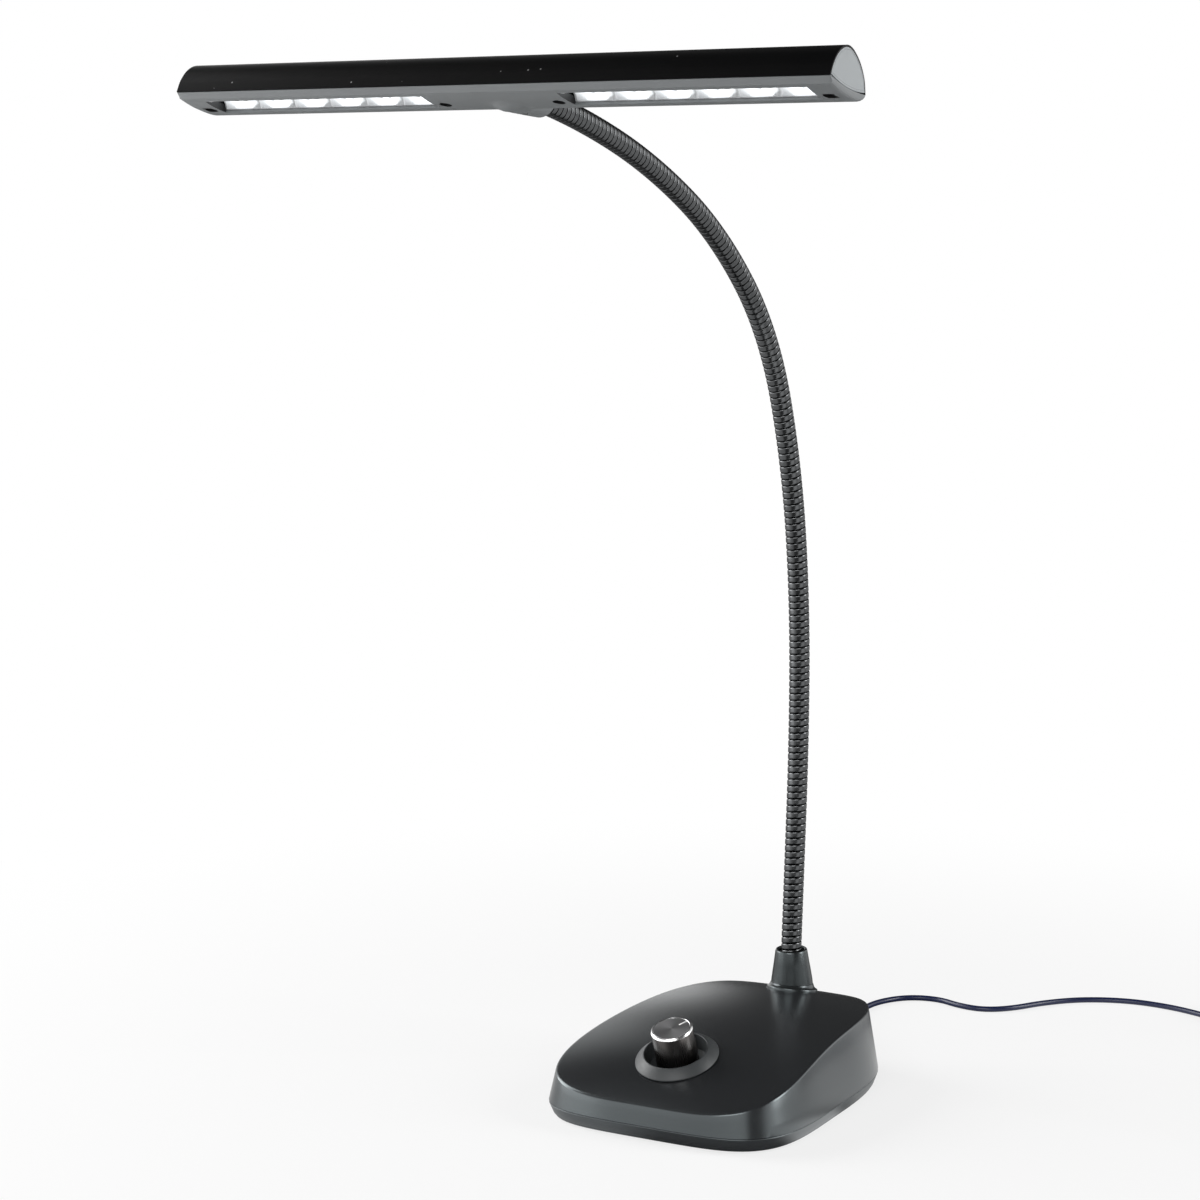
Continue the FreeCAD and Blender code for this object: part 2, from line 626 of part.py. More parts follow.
def make_section(index):
    """One gooseneck section: a cup below it, a ball at its upper end."""
    point, angle = STATIONS[index]
    end_point, end_angle = STATIONS[index + 1]
    turn = SECTION_TURNS[index]
    first = index == 0
    last = index == len(SECTION_TURNS) - 1
    start = 0 if first else CUP_START
    end = SECTION_LENGTH if last else SECTION_LENGTH - BALL_SHOULDER
    section = neck_tube(point, angle, turn, start, end)
    if first:
        section = section.fuse(neck_tube(point, angle, 0, -NECK_FOOT_DEPTH, 0))
    else:
        section = section.cut(placed(Part.makeSphere(BALL_RADIUS + BALL_GAP), angle, point))
    if last:
        section = section.fuse(neck_tube(end_point, end_angle, 0, 0, NECK_HEAD_DEPTH))
    else:
        section = section.fuse(placed(ball_end(), end_angle, end_point))
    return section.removeSplitter()


def save_neck():
    """The eight gooseneck sections and the socket at the foot."""
    for index in range(len(SECTION_TURNS)):
        save("neck_section_" + str(index), make_section(index))
    for number, (point, angle) in enumerate(STATIONS):
        print("station", number, [round(value, 3) for value in point], round(angle, 3))

    foot = STATIONS[0][0]
    cone_height = (foot - SOCKET_POINT).Length
    cone_tilt = math.degrees(math.atan2(SOCKET_POINT.y - foot.y, foot.z - SOCKET_POINT.z))
    cone = revolved((
        (0, -cone_height - COLLAR_HEIGHT), (SOCKET_FOOT_RADIUS, -cone_height - COLLAR_HEIGHT),
        (SOCKET_FOOT_RADIUS, -cone_height + CLEAR),
        (SOCKET_RIM_RADIUS, -2 * SOCKET_LIP), (SOCKET_RIM_RADIUS - SOCKET_LIP, 0), (0, 0)))
    cone = placed(cone, cone_tilt, foot)
    flare_middle = (COLLAR_RADIUS + SOCKET_FOOT_RADIUS) / 2 - COLLAR_SAG
    collar = revolved((
        (0, -SEAT_DEPTH), (COLLAR_RADIUS, -SEAT_DEPTH), (COLLAR_RADIUS, COLLAR_SAG),
        (flare_middle, COLLAR_HEIGHT / 2), (SOCKET_FOOT_RADIUS - COLLAR_TUCK, COLLAR_HEIGHT),
        (0, COLLAR_HEIGHT)))
    spigot = rod(SPIGOT_RADIUS, -SPIGOT_LENGTH, 0)
    below = at_socket(rod(2 * COLLAR_RADIUS, -3 * SPIGOT_LENGTH, -SEAT_DEPTH))
    socket = cone.cut(below).fuse([at_socket(collar), at_socket(spigot)])
    socket = socket.cut(placed(rod(SOCKET_MOUTH_RADIUS, -SOCKET_MOUTH_DEPTH, CLEAR), cone_tilt, foot))
    socket = socket.cut(placed(rod(NECK_RADIUS, -NECK_FOOT_DEPTH, CLEAR), NECK_LEAN, foot))
    socket = socket.cut(placed(rod(NECK_BORE_RADIUS, -3 * SPIGOT_LENGTH, CLEAR), NECK_LEAN, foot))
    save("neck_socket", socket.removeSplitter())

    washer_top = -SEAT_DEPTH - SEAT_PAD_THICK
    washer = rod(WASHER_RADIUS, washer_top - WASHER_THICK, washer_top)
    nut_top = washer_top - WASHER_THICK
    nut = hexagon(LOCK_NUT_ACROSS_FLATS, nut_top - LOCK_NUT_HEIGHT, nut_top)
    thread = rod(SPIGOT_RADIUS, -3 * SPIGOT_LENGTH, 0)
    save("socket_washer", at_socket(washer.cut(thread)))
    save("socket_nut", at_socket(nut.cut(thread)))


# ---- light head ------------------------------------------------------------

NECK_END, NECK_END_ANGLE = STATIONS[-1]
HEAD_CENTRE = NECK_END + heading(NECK_END_ANGLE) * HEAD_REACH + inward(NECK_END_ANGLE) * HEAD_DROP
HEAD_TILT = NECK_END_ANGLE - 90 + HEAD_PITCH


def head_set(shape):
    """Move a shape from the head's own frame to its place at rest."""
    return placed(shape, HEAD_TILT, HEAD_CENTRE)


def arch_points(inset):
    """The cover's arch, drawn in towards the chord's middle."""
    reach = COVER_ARCH[-1][0]
    rise = max(height for place, height in COVER_ARCH)
    return [Vector(0, y * (1 - inset / reach), z * (1 - inset / rise)) for y, z in COVER_ARCH]


def belly_points(inset):
    """The tray's belly from the strip's edge to the rear, drawn in."""
    reach = COVER_ARCH[-1][0]
    depth = -min(height for place, height in BELLY)
    return [Vector(0, y * (1 - inset / reach), z * (1 - inset / depth)) for y, z in BELLY]


def spline_edge(points):
    """Smooth edge through points."""
    curve = Part.BSplineCurve()
    curve.interpolate(points)
    return curve.toShape()


def line(start, end):
    """Straight edge."""
    return Part.makeLine(start, end)


def prism(edges, start, end):
    """Solid along X between two places, from a closed chain of edges."""
    face = Part.Face(Part.Wire(edges))
    face.translate(Vector(start, 0, 0))
    return face.extrude(Vector(end - start, 0, 0))


def arch_prism(inset, start, end):
    """Solid under the arch, down to the chord."""
    points = arch_points(inset)
    return prism([spline_edge(points), line(points[-1], points[0])], start, end)


def belly_prism(inset, start, end):
    """Solid from the chord down to the belly."""
    points = belly_points(inset)
    front = arch_points(inset)[0]
    rear = arch_points(inset)[-1]
    edges = [line(front, points[0]), spline_edge(points + [rear]), line(rear, front)]
    return prism(edges, start, end)


def cap_prism(inset, start, end):
    """Solid under the arch and down to the cap's shallow lower edge."""
    points = arch_points(inset)
    middle = Vector(0, (points[0].y + points[-1].y) / 2, -CAP_SAG * (1 - inset / CAP_SAG))
    lower = Part.Arc(points[-1], middle, points[0]).toShape()
    return prism([spline_edge(points), lower], start, end)


def along_neck_end(shape):
    """Set a shape drawn about Z, with +Z forward, on the axis of the neck's end."""
    return placed(shape, NECK_END_ANGLE, NECK_END)


def in_head_frame(shape):
    """Bring a shape from its place at rest back to the head's own frame."""
    copy = shape.copy()
    copy.translate(-HEAD_CENTRE)
    copy.rotate(ORIGIN, X_AXIS, -HEAD_TILT)
    return copy


BOSS_START = -BOSS_RIM_PAST_NECK
BOSS_END = BOSS_START + BOSS_LENGTH


def boss_solid(extra):
    """Cone with a round nose about the neck's end."""
    rim = BOSS_RIM_RADIUS + extra
    root = BOSS_ROOT_RADIUS + extra
    cone = Part.makeCone(rim, root, BOSS_LENGTH, Vector(0, 0, BOSS_START))
    nose = Part.makeSphere(root, Vector(0, 0, BOSS_END))
    return in_head_frame(along_neck_end(cone.fuse(nose)))


def boss_room(extra):
    """The boss without the part of its nose that would stand in the cover's roof."""
    size = 3 * BOSS_LENGTH
    nose = Part.makeBox(size, size, size, Vector(-size / 2, BOSS_FRONT - extra - size, 0))
    return boss_solid(extra).cut(nose)


def screw_places():
    """The head's four screws, along X."""
    return [side * place for place in (HEAD_SCREW_INNER, HALF - HEAD_SCREW_END_INSET) for side in (-1, 1)]


def belly_depth(y):
    """Depth of the belly below the chord near a place across it."""
    lower = [point for point in BELLY if point[0] <= y][-1]
    upper = [point for point in BELLY if point[0] > y][0]
    share = (y - lower[0]) / (upper[0] - lower[0])
    return -(lower[1] + share * (upper[1] - lower[1]))


HALF = HEAD_LENGTH / 2
INNER_HALF = HALF - CAP_THICK


def make_head_cover():
    """Arched cover with rebates for the caps, four screw pillars and a notch for the boss."""
    cover = arch_prism(0, -HALF, HALF).cut(arch_prism(HEAD_WALL, -HALF - CLEAR, HALF + CLEAR))
    rebate = arch_prism(CAP_EDGE, INNER_HALF, HALF + CLEAR)
    cover = cover.cut(rebate).cut(rebate.mirror(ORIGIN, X_AXIS))
    roof = arch_prism(HEAD_WALL / 2, -HALF, HALF)
    for x in screw_places():
        pillar = rod(PILLAR_RADIUS, FIT_GAP / 2, 2 * BOSS_LENGTH, x, HEAD_SCREW_Y).common(roof)
        cover = cover.fuse(pillar)
    for x in screw_places():
        cover = cover.cut(rod(HEAD_SCREW_RADIUS, 0, HEAD_SCREW_LENGTH, x, HEAD_SCREW_Y))
    cover = cover.cut(boss_room(COVER_GAP))
    return cover.removeSplitter()


def make_head_tray():
    """Lower moulding: belly, two windows with ledges, screw recesses and the boss."""
    belly = belly_prism(0, -HALF, HALF)
    tray = belly.cut(belly_prism(HEAD_WALL, -INNER_HALF + HEAD_WALL, INNER_HALF - HEAD_WALL))
    depth = belly_depth(HEAD_SCREW_Y)
    for side in (-1, 1):
        tray = tray.fuse(window_box(side, 2 * LEDGE_WIDTH, 2 * LEDGE_WIDTH, -2 * depth, 0).common(belly))
    for x in screw_places():
        tray = tray.fuse(rod(RECESS_RADIUS + HEAD_WALL, -depth, 0, x, HEAD_SCREW_Y).common(belly))
    tray = tray.fuse(boss_room(0))
    for side in (-1, 1):
        tray = tray.cut(window_box(side, 0, 0, -2 * depth, BOSS_LENGTH))
        pocket = LEDGE_WIDTH + FLANGE_GAP
        tray = tray.cut(window_box(side, pocket, pocket, LEDGE_HEIGHT, BOSS_LENGTH))
    for x in screw_places():
        tray = tray.cut(rod(RECESS_RADIUS, -2 * depth, -depth + RECESS_DEPTH, x, HEAD_SCREW_Y))
        tray = tray.cut(rod(HEAD_SCREW_RADIUS + FIT_GAP / 2, -2 * depth, CLEAR, x, HEAD_SCREW_Y))
    right_end = cap_prism(CAP_EDGE, INNER_HALF, HALF + CLEAR)
    tray = tray.cut(right_end).cut(right_end.mirror(ORIGIN, X_AXIS))
    tray = tray.cut(in_head_frame(along_neck_end(ferrule_hole())))
    return tray.cut(in_head_frame(along_neck_end(clamp_hole())))


def ferrule_hole():
    """Stepped bore in the boss for the neck, its ferrule and the lead."""
    ferrule = rod(FERRULE_RADIUS, BOSS_START - CLEAR, NECK_HEAD_DEPTH)
    lead = rod(NECK_BORE_RADIUS, 0, BOSS_END + 2 * BOSS_ROOT_RADIUS)
    return ferrule.fuse(lead)


CLAMP_PLACE = NECK_HEAD_DEPTH - FERRULE_LENGTH / 2


def clamp_hole():
    """Radial hole for the clamp screw, out of the underside of the boss."""
    hole = Part.makeCylinder(HEAD_SCREW_RADIUS, 2 * BOSS_ROOT_RADIUS, Vector(0, 0, CLAMP_PLACE), Y_AXIS)
    recess = Part.makeCylinder(RECESS_RADIUS, BOSS_ROOT_RADIUS, Vector(0, BOSS_RIM_RADIUS, CLAMP_PLACE), Y_AXIS)
    low_side = hole.fuse(recess)
    low_side.rotate(ORIGIN, Z_AXIS, 180)
    return low_side


def window_box(side, margin_x, margin_y, low, high):
    """Box over one window, larger by a margin each way, between two heights."""
    start = WINDOW_INNER if side > 0 else -WINDOW_OUTER
    length = WINDOW_OUTER - WINDOW_INNER + 2 * margin_x
    depth = WINDOW_REAR - WINDOW_FRONT + 2 * margin_y
    return Part.makeBox(length, depth, high - low, Vector(start - margin_x, WINDOW_FRONT - margin_y, low))


def make_reflector(side):
    """Trough with six square cups, each open at the light's place, and a flange on the tray's ledge."""
    start = WINDOW_INNER if side > 0 else -WINDOW_OUTER
    pitch = (WINDOW_OUTER - WINDOW_INNER) / CELLS
    bar = window_box(side, -FLANGE_GAP, -FLANGE_GAP, REFLECTOR_BOTTOM, REFLECTOR_TOP)
    bar = bar.fuse(window_box(side, LEDGE_WIDTH, LEDGE_WIDTH, LEDGE_HEIGHT, LEDGE_HEIGHT + FLANGE_THICK))
    margin = -REFLECTOR_WALL / 2
    bar = bar.cut(window_box(side, margin, margin, REFLECTOR_BOTTOM - CLEAR, DIVIDER_BOTTOM))
    middle_y = (WINDOW_FRONT + WINDOW_REAR) / 2
    half_x = (pitch - REFLECTOR_WALL) / 2
    half_y = (WINDOW_REAR - WINDOW_FRONT - REFLECTOR_WALL) / 2
    for cell in range(CELLS):
        middle_x = start + pitch * (cell + 0.5)
        mouth = rectangle(middle_x, middle_y, half_x, half_y, DIVIDER_BOTTOM)
        throat = rectangle(middle_x, middle_y, CELL_THROAT, CELL_THROAT, REFLECTOR_TOP)
        bar = bar.cut(Part.makeLoft([mouth, throat], True, True))
    return bar


def rectangle(x, y, half_x, half_y, z):
    """Closed rectangular wire about a centre."""
    corners = [Vector(x + i * half_x, y + j * half_y, z) for i, j in ((-1, -1), (1, -1), (1, 1), (-1, 1))]
    return Part.makePolygon(corners + [corners[0]])


def save_head():
    """Cover, tray, caps, optics, boards and screws of the light head."""
    save("head_cover", head_set(make_head_cover()))
    save("head_tray", head_set(make_head_tray()))

    cap = cap_prism(CAP_EDGE + FIT_GAP / 2, INNER_HALF, HALF)
    plug = arch_prism(HEAD_WALL + FIT_GAP, INNER_HALF - CAP_PLUG, INNER_HALF)
    width = COVER_ARCH[-1][0] - COVER_ARCH[0][0]
    plug = plug.common(Part.makeBox(HEAD_LENGTH, 2 * width, width, Vector(0, -width, FIT_GAP)))
    right_cap = cap.fuse(plug).removeSplitter()
    save("end_cap_right", head_set(right_cap))
    save("end_cap_left", head_set(right_cap.mirror(ORIGIN, X_AXIS)))

    middle_y = (WINDOW_FRONT + WINDOW_REAR) / 2
    length = WINDOW_OUTER - WINDOW_INNER
    light_low = REFLECTOR_TOP + LENS_THICK
    board_low = light_low + LED_HEIGHT
    strip_low = board_low + LED_BOARD_THICK
    for side, name in ((-1, "left"), (1, "right")):
        start = WINDOW_INNER if side > 0 else -WINDOW_OUTER
        save("reflector_" + name, head_set(make_reflector(side)))
        lens = window_box(side, -FLANGE_GAP, -FLANGE_GAP, REFLECTOR_TOP, light_low)
        save("lens_" + name, head_set(lens))
        lights = []
        for cell in range(CELLS):
            x = start + length / CELLS * (cell + 0.5)
            lights.append(Part.makeBox(LED_SIZE, LED_SIZE, LED_HEIGHT,
                                       Vector(x - LED_SIZE / 2, middle_y - LED_SIZE / 2, light_low)))
        save("leds_" + name, head_set(Part.makeCompound(lights)))
        board = window_box(side, 0, -LED_BOARD_MARGIN, board_low, strip_low)
        save("led_board_" + name, head_set(board))
        strip = window_box(side, 0, -HEAT_STRIP_MARGIN, strip_low, strip_low + HEAT_STRIP_THICK)
        save("heat_strip_" + name, head_set(strip))

    screws = []
    for x in screw_places():
        one = screw(HEAD_SCREW_RADIUS, HEAD_SCREW_HEAD, HEAD_SCREW_RISE, HEAD_SCREW_LENGTH - RECESS_DEPTH)
        one.translate(Vector(x, HEAD_SCREW_Y, -belly_depth(HEAD_SCREW_Y) + RECESS_DEPTH))
        screws.append(one)
    save("head_screws", head_set(Part.makeCompound(screws)))

    ferrule = rod(FERRULE_RADIUS, NECK_HEAD_DEPTH - FERRULE_LENGTH, NECK_HEAD_DEPTH)
    ferrule = ferrule.cut(rod(NECK_RADIUS, NECK_HEAD_DEPTH - FERRULE_LENGTH - CLEAR, NECK_HEAD_DEPTH + CLEAR))
    save("neck_ferrule", along_neck_end(ferrule))
    clamp_foot = Vector(0, FERRULE_RADIUS, CLAMP_PLACE)
    clamp_seat = Vector(0, BOSS_RIM_RADIUS, CLAMP_PLACE)
    clamp = Part.makeCylinder(HEAD_SCREW_RADIUS, BOSS_RIM_RADIUS - FERRULE_RADIUS, clamp_foot, Y_AXIS)
    clamp_head = Part.makeCylinder(HEAD_SCREW_HEAD, CLAMP_HEAD_RISE, clamp_seat, Y_AXIS)
    clamp_screw = clamp.fuse(clamp_head).removeSplitter()
    clamp_screw.rotate(ORIGIN, Z_AXIS, 180)
    save("neck_clamp_screw", along_neck_end(clamp_screw))


# ---- supply cord -----------------------------------------------------------

def rounded_path(points):
    """Straight runs joined by tangent arcs, each as large as its runs allow."""
    edges = []
    radii = []
    start = points[0]
    for before, corner, after in zip(points, points[1:], points[2:]):
        into = corner - before
        out = after - corner
        turn = into.getAngle(out)
        reach = 0.45 * min(into.Length, out.Length)
        radii.append(reach / math.tan(turn / 2))
        into.normalize()
        out.normalize()
        first = corner - into * reach
        last = corner + out * reach
        to_middle = out - into
        to_middle.normalize()
        sagitta = radii[-1] * (1 / math.cos(turn / 2) - 1)
        edges.append(line(start, first))
        edges.append(Part.Arc(first, corner + to_middle * sagitta, last).toShape())
        start = last
    edges.append(line(start, points[-1]))
    return Part.Wire(edges), radii


def save_cord():
    """Gland, cord, coil and adapter, all lying on the table behind the lamp."""
    gland = revolved((
        (0, -WALL - GLAND_FLANGE_THICK), (GLAND_FLANGE_RADIUS, -WALL - GLAND_FLANGE_THICK),
        (GLAND_FLANGE_RADIUS, -WALL), (GLAND_ROOT_RADIUS, -WALL), (GLAND_ROOT_RADIUS, CORD_DIAMETER / 2),
        (GLAND_TIP_RADIUS, GLAND_LENGTH), (0, GLAND_LENGTH)))
    gland = gland.cut(rod(CORD_DIAMETER / 2, -GLAND_LENGTH, GLAND_LENGTH + CLEAR))
    gland.rotate(ORIGIN, X_AXIS, -90)
    gland.translate(Vector(0, EXIT_Y, CORD_EXIT_Z))
    save("cord_gland", gland)

    inner = COIL_MEAN_RADIUS - COIL_BUILD / 2
    outer = COIL_MEAN_RADIUS + COIL_BUILD / 2
    edge = CORD_DIAMETER / 2
    entry = math.radians(COIL_ENTRY_ANGLE)
    entry_x = COIL_CENTRE[0] + (outer - edge) * math.cos(entry)
    entry_y = COIL_CENTRE[1] + (outer - edge) * math.sin(entry)

    start = Vector(0, EXIT_Y - WALL, CORD_EXIT_Z)
    middle = [Vector(x, HALF_DEPTH + behind, z) for x, behind, z in CORD_ROUTE]
    route = [start] + middle + [Vector(entry_x, entry_y, CORD_FLOOR)]
    path, radii = rounded_path(route)
    end_circle = Part.Wire(Part.makeCircle(edge, start, route[1] - route[0]))
    tube = path.makePipeShell([end_circle], True, False)
    section = math.pi * edge ** 2
    print("cord radii", [round(radius, 1) for radius in radii])
    print("cord length", round(path.Length, 1), "volume ratio", round(tube.Volume / (section * path.Length), 4))

    tail_y = COIL_CENTRE[1] - outer + edge
    tail_z = COIL_BUILD - edge
    face_x = COIL_CENTRE[0] + outer + ADAPTER_GAP
    tail = Part.makeCylinder(edge, face_x - COIL_CENTRE[0], Vector(COIL_CENTRE[0], tail_y, tail_z), X_AXIS)
    save("supply_cord", tube)

    coil = revolved((
        (inner + edge, 0), (outer - edge, 0), (outer, edge), (outer, COIL_BUILD - edge),
        (outer - edge, COIL_BUILD), (inner + edge, COIL_BUILD), (inner, COIL_BUILD - edge), (inner, edge)))
    coil.translate(Vector(COIL_CENTRE[0], COIL_CENTRE[1], 0))
    save("cord_coil", coil.fuse(tail).cut(tube))

    width, depth, height = ADAPTER_SIZE
    body = rounded_box(width, depth, height, ADAPTER_CORNER, (face_x + width / 2, tail_y, 0))
    relief = revolved((
        (0, 0), (GLAND_TIP_RADIUS, 0), (ADAPTER_RELIEF_ROOT, ADAPTER_RELIEF_LENGTH),
        (0, ADAPTER_RELIEF_LENGTH)))
    relief.rotate(ORIGIN, Y_AXIS, 90)
    relief.translate(Vector(face_x - ADAPTER_RELIEF_LENGTH, tail_y, tail_z))
    pins = []
    for side in (-1, 1):
        pin_y = tail_y + side * PIN_PITCH / 2 - PIN_SIZE[1] / 2
        corner = Vector(face_x + width, pin_y, (height - PIN_SIZE[2]) / 2)
        pins.append(Part.makeBox(*PIN_SIZE, corner))
    save("adapter_body", body)
    save("adapter_relief", relief.cut(tail))
    save("adapter_pins", Part.makeCompound(pins))


save_base()
save_control()
save_neck()
save_head()
save_cord()
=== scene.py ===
import bmesh
import bpy
import math
from mathutils import Matrix, Vector


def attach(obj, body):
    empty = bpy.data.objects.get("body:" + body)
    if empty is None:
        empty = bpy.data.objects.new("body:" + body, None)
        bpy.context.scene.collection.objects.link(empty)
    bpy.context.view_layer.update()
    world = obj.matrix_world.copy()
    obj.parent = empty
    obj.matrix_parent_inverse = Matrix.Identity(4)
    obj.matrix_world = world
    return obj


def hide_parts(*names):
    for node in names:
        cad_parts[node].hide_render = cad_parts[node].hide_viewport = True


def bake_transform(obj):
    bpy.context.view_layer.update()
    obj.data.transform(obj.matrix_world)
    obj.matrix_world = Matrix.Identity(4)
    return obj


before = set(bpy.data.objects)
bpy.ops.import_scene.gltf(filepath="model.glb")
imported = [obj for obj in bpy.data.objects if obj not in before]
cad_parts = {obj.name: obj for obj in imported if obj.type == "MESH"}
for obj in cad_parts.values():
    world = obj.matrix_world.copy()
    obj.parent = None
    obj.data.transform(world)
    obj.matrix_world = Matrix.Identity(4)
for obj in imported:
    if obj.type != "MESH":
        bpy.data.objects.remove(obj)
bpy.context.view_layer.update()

# Piano lamp: the visible pieces and their finishes.  Points are written in
# millimetres and made metres where a mesh is built.  +Z is up, +X runs along the
# head, -Y is the side of the player.
MM = 0.001
UNMOVED = Matrix.Identity(4)


# ---- node trees ------------------------------------------------------------

def formula(operation, reflected=False):
    """A method that adds a Math node on a value and what it is given."""
    def method(value, *others):
        values = (*others, value) if reflected else (value, *others)
        return value.tree.add("ShaderNodeMath", {"operation": operation}, values)
    return method


class Number:
    """A value in a node tree that can be used in a formula."""
    __add__, __radd__ = formula("ADD"), formula("ADD", reflected=True)
    __sub__, __rsub__ = formula("SUBTRACT"), formula("SUBTRACT", reflected=True)
    __mul__, __rmul__ = formula("MULTIPLY"), formula("MULTIPLY", reflected=True)
    __truediv__, __pow__, __gt__ = formula("DIVIDE"), formula("POWER"), formula("GREATER_THAN")
    fraction, size, root = formula("FRACT"), formula("ABSOLUTE"), formula("SQRT")

    def __init__(self, tree, socket):
        self.tree = tree
        self.socket = socket

    def step(self, low, high):
        """0 below low, 1 above high, smooth between."""
        return self.tree.add("ShaderNodeMapRange", {"interpolation_type": "SMOOTHSTEP"},
                             {"Value": self, "From Min": low, "From Max": high})


class Tree:
    """A node tree, filled by one method."""

    def __init__(self, tree):
        self.tree = tree

    def add(self, kind, settings=None, inputs=(), output=0):
        node = self.tree.nodes.new(kind)
        for key, value in (settings or {}).items():
            setattr(node, key, value)
        entries = inputs.items() if isinstance(inputs, dict) else enumerate(inputs)
        for key, value in entries:
            self.feed(node.inputs[key], value)
        return Number(self, node.outputs[output])

    def feed(self, socket, value):
        if isinstance(value, Number):
            self.tree.links.new(value.socket, socket)
        elif hasattr(value, "__len__") and len(value) == 3 and socket.type == "RGBA":
            socket.default_value = (*value, 1.0)
        else:
            socket.default_value = value

    def parts(self, vector):
        """The x, y and z of a vector."""
        node = self.tree.nodes.new("ShaderNodeSeparateXYZ")
        self.feed(node.inputs[0], vector)
        return [Number(self, socket) for socket in node.outputs]

    def rays(self, *kinds):
        """Whether light is seen by rays of each kind."""
        path = self.tree.nodes.new("ShaderNodeLightPath")
        return [Number(self, path.outputs["Is " + kind + " Ray"]) for kind in kinds]


class Finish(Tree):
    """A material: one principled shader, with what its formulas add."""

    def __init__(self, name, colour, roughness, metallic=0.0, **constants):
        self.material = bpy.data.materials.new(name)
        self.material.use_nodes = True
        super().__init__(self.material.node_tree)
        self.tree.nodes.clear()
        self.shader = self.tree.nodes.new("ShaderNodeBsdfPrincipled")
        self.surface = self.tree.nodes.new("ShaderNodeOutputMaterial").inputs["Surface"]
        self.tree.links.new(self.shader.outputs[0], self.surface)
        self.put("Base Color", colour)
        self.put("Roughness", roughness)
        self.put("Metallic", metallic)
        for key, value in constants.items():
            self.put(key.replace("_", " ").title().replace("Ior", "IOR"), value)

    def put(self, name, value):
        self.feed(self.shader.inputs[name], value)

    def place(self, matrix=None):
        """Object coordinates in metres, or those of a piece set by a matrix."""
        here = self.add("ShaderNodeTexCoord", output=3)
        if matrix is None:
            return here
        back = matrix.inverted()
        return self.add("ShaderNodeMapping", {}, {
            "Vector": here, "Location": back.to_translation() * MM, "Rotation": back.to_euler()})

    def noise(self, per_metre, detail=2.0, vector=None):
        where = self.place() if vector is None else vector
        return self.add("ShaderNodeTexNoise", {}, {"Vector": where, "Scale": per_metre, "Detail": detail})

    def lines(self, per_metre, detail=2.0, matrix=None):
        """Noise drawn out to lines, by a scale along each axis."""
        return self.noise(1.0, detail, self.add("ShaderNodeVectorMath", {"operation": "MULTIPLY"},
                                                (self.place(matrix), per_metre)))

    def named(self, attribute):
        return self.add("ShaderNodeAttribute", {"attribute_name": attribute}, output=2)

    def blend(self, share, low, high):
        """A colour between two, by a share."""
        return self.add("ShaderNodeMix", {"data_type": "RGBA"}, {0: share, 6: low, 7: high}, output=2)

    def tint(self, share, low, high):
        self.put("Base Color", self.blend(share, low, high))

    def relief(self, height, distance):
        self.put("Normal", self.add("ShaderNodeBump", {}, {"Height": height, "Distance": distance}))

    def cover_with(self, shader, share):
        """Lay another shader over the principled one, by a share."""
        self.feed(self.surface, self.add("ShaderNodeMixShader", {}, {
            0: share, 1: Number(self, self.shader.outputs[0]), 2: shader}))


def shade(colour, factor):
    """A colour made lighter or darker."""
    return tuple(min(1.0, part * factor) for part in colour)


def moulded(name, colour, roughness, grain=900.0, relief=0.00003, mottle=0.12, **constants):
    """Moulded or painted surface: a fine grain, and slow changes of tone and gloss."""
    finish = Finish(name, colour, roughness, **constants)
    slow = finish.noise(22.0, 3.0)
    fine = finish.noise(grain, 2.0)
    finish.tint(slow, shade(colour, 1 - mottle), shade(colour, 1 + mottle))
    finish.put("Roughness", roughness * 0.85 + slow * (0.2 * roughness) + fine * (0.1 * roughness))
    finish.relief(fine, relief)
    return finish


def metal(name, colour, roughness, scratch=(900.0, 900.0, 60.0), relief=0.00001, **constants):
    """Bare or plated metal with fine lines along one direction."""
    finish = Finish(name, colour, roughness, metallic=1.0, **constants)
    lines = finish.lines(scratch)
    finish.tint(lines, shade(colour, 0.85), shade(colour, 1.12))
    finish.put("Roughness", roughness * 0.7 + lines * (0.6 * roughness))
    finish.relief(lines, relief)
    return finish


# ---- making meshes ---------------------------------------------------------

def put_in(name, data):
    """A new object in the scene."""
    thing = bpy.data.objects.new(name, data)
    bpy.context.scene.collection.objects.link(thing)
    return thing


def paint(mesh, finish):
    mesh.materials.clear()
    mesh.materials.append(finish.material)


def link(name, mesh, finish):
    if finish is not None:
        paint(mesh, finish)
    return put_in(name, mesh)


def smooth(thing, angle=32.0):
    """Smooth faces, with edges sharper than the angle left crisp."""
    shape = bmesh.new()
    shape.from_mesh(thing.data)
    for face in shape.faces:
        face.smooth = True
    for edge in shape.edges:
        edge.smooth = not edge.is_manifold or edge.calc_face_angle(0.0) < math.radians(angle)
    shape.to_mesh(thing.data)
    shape.free()
    return thing


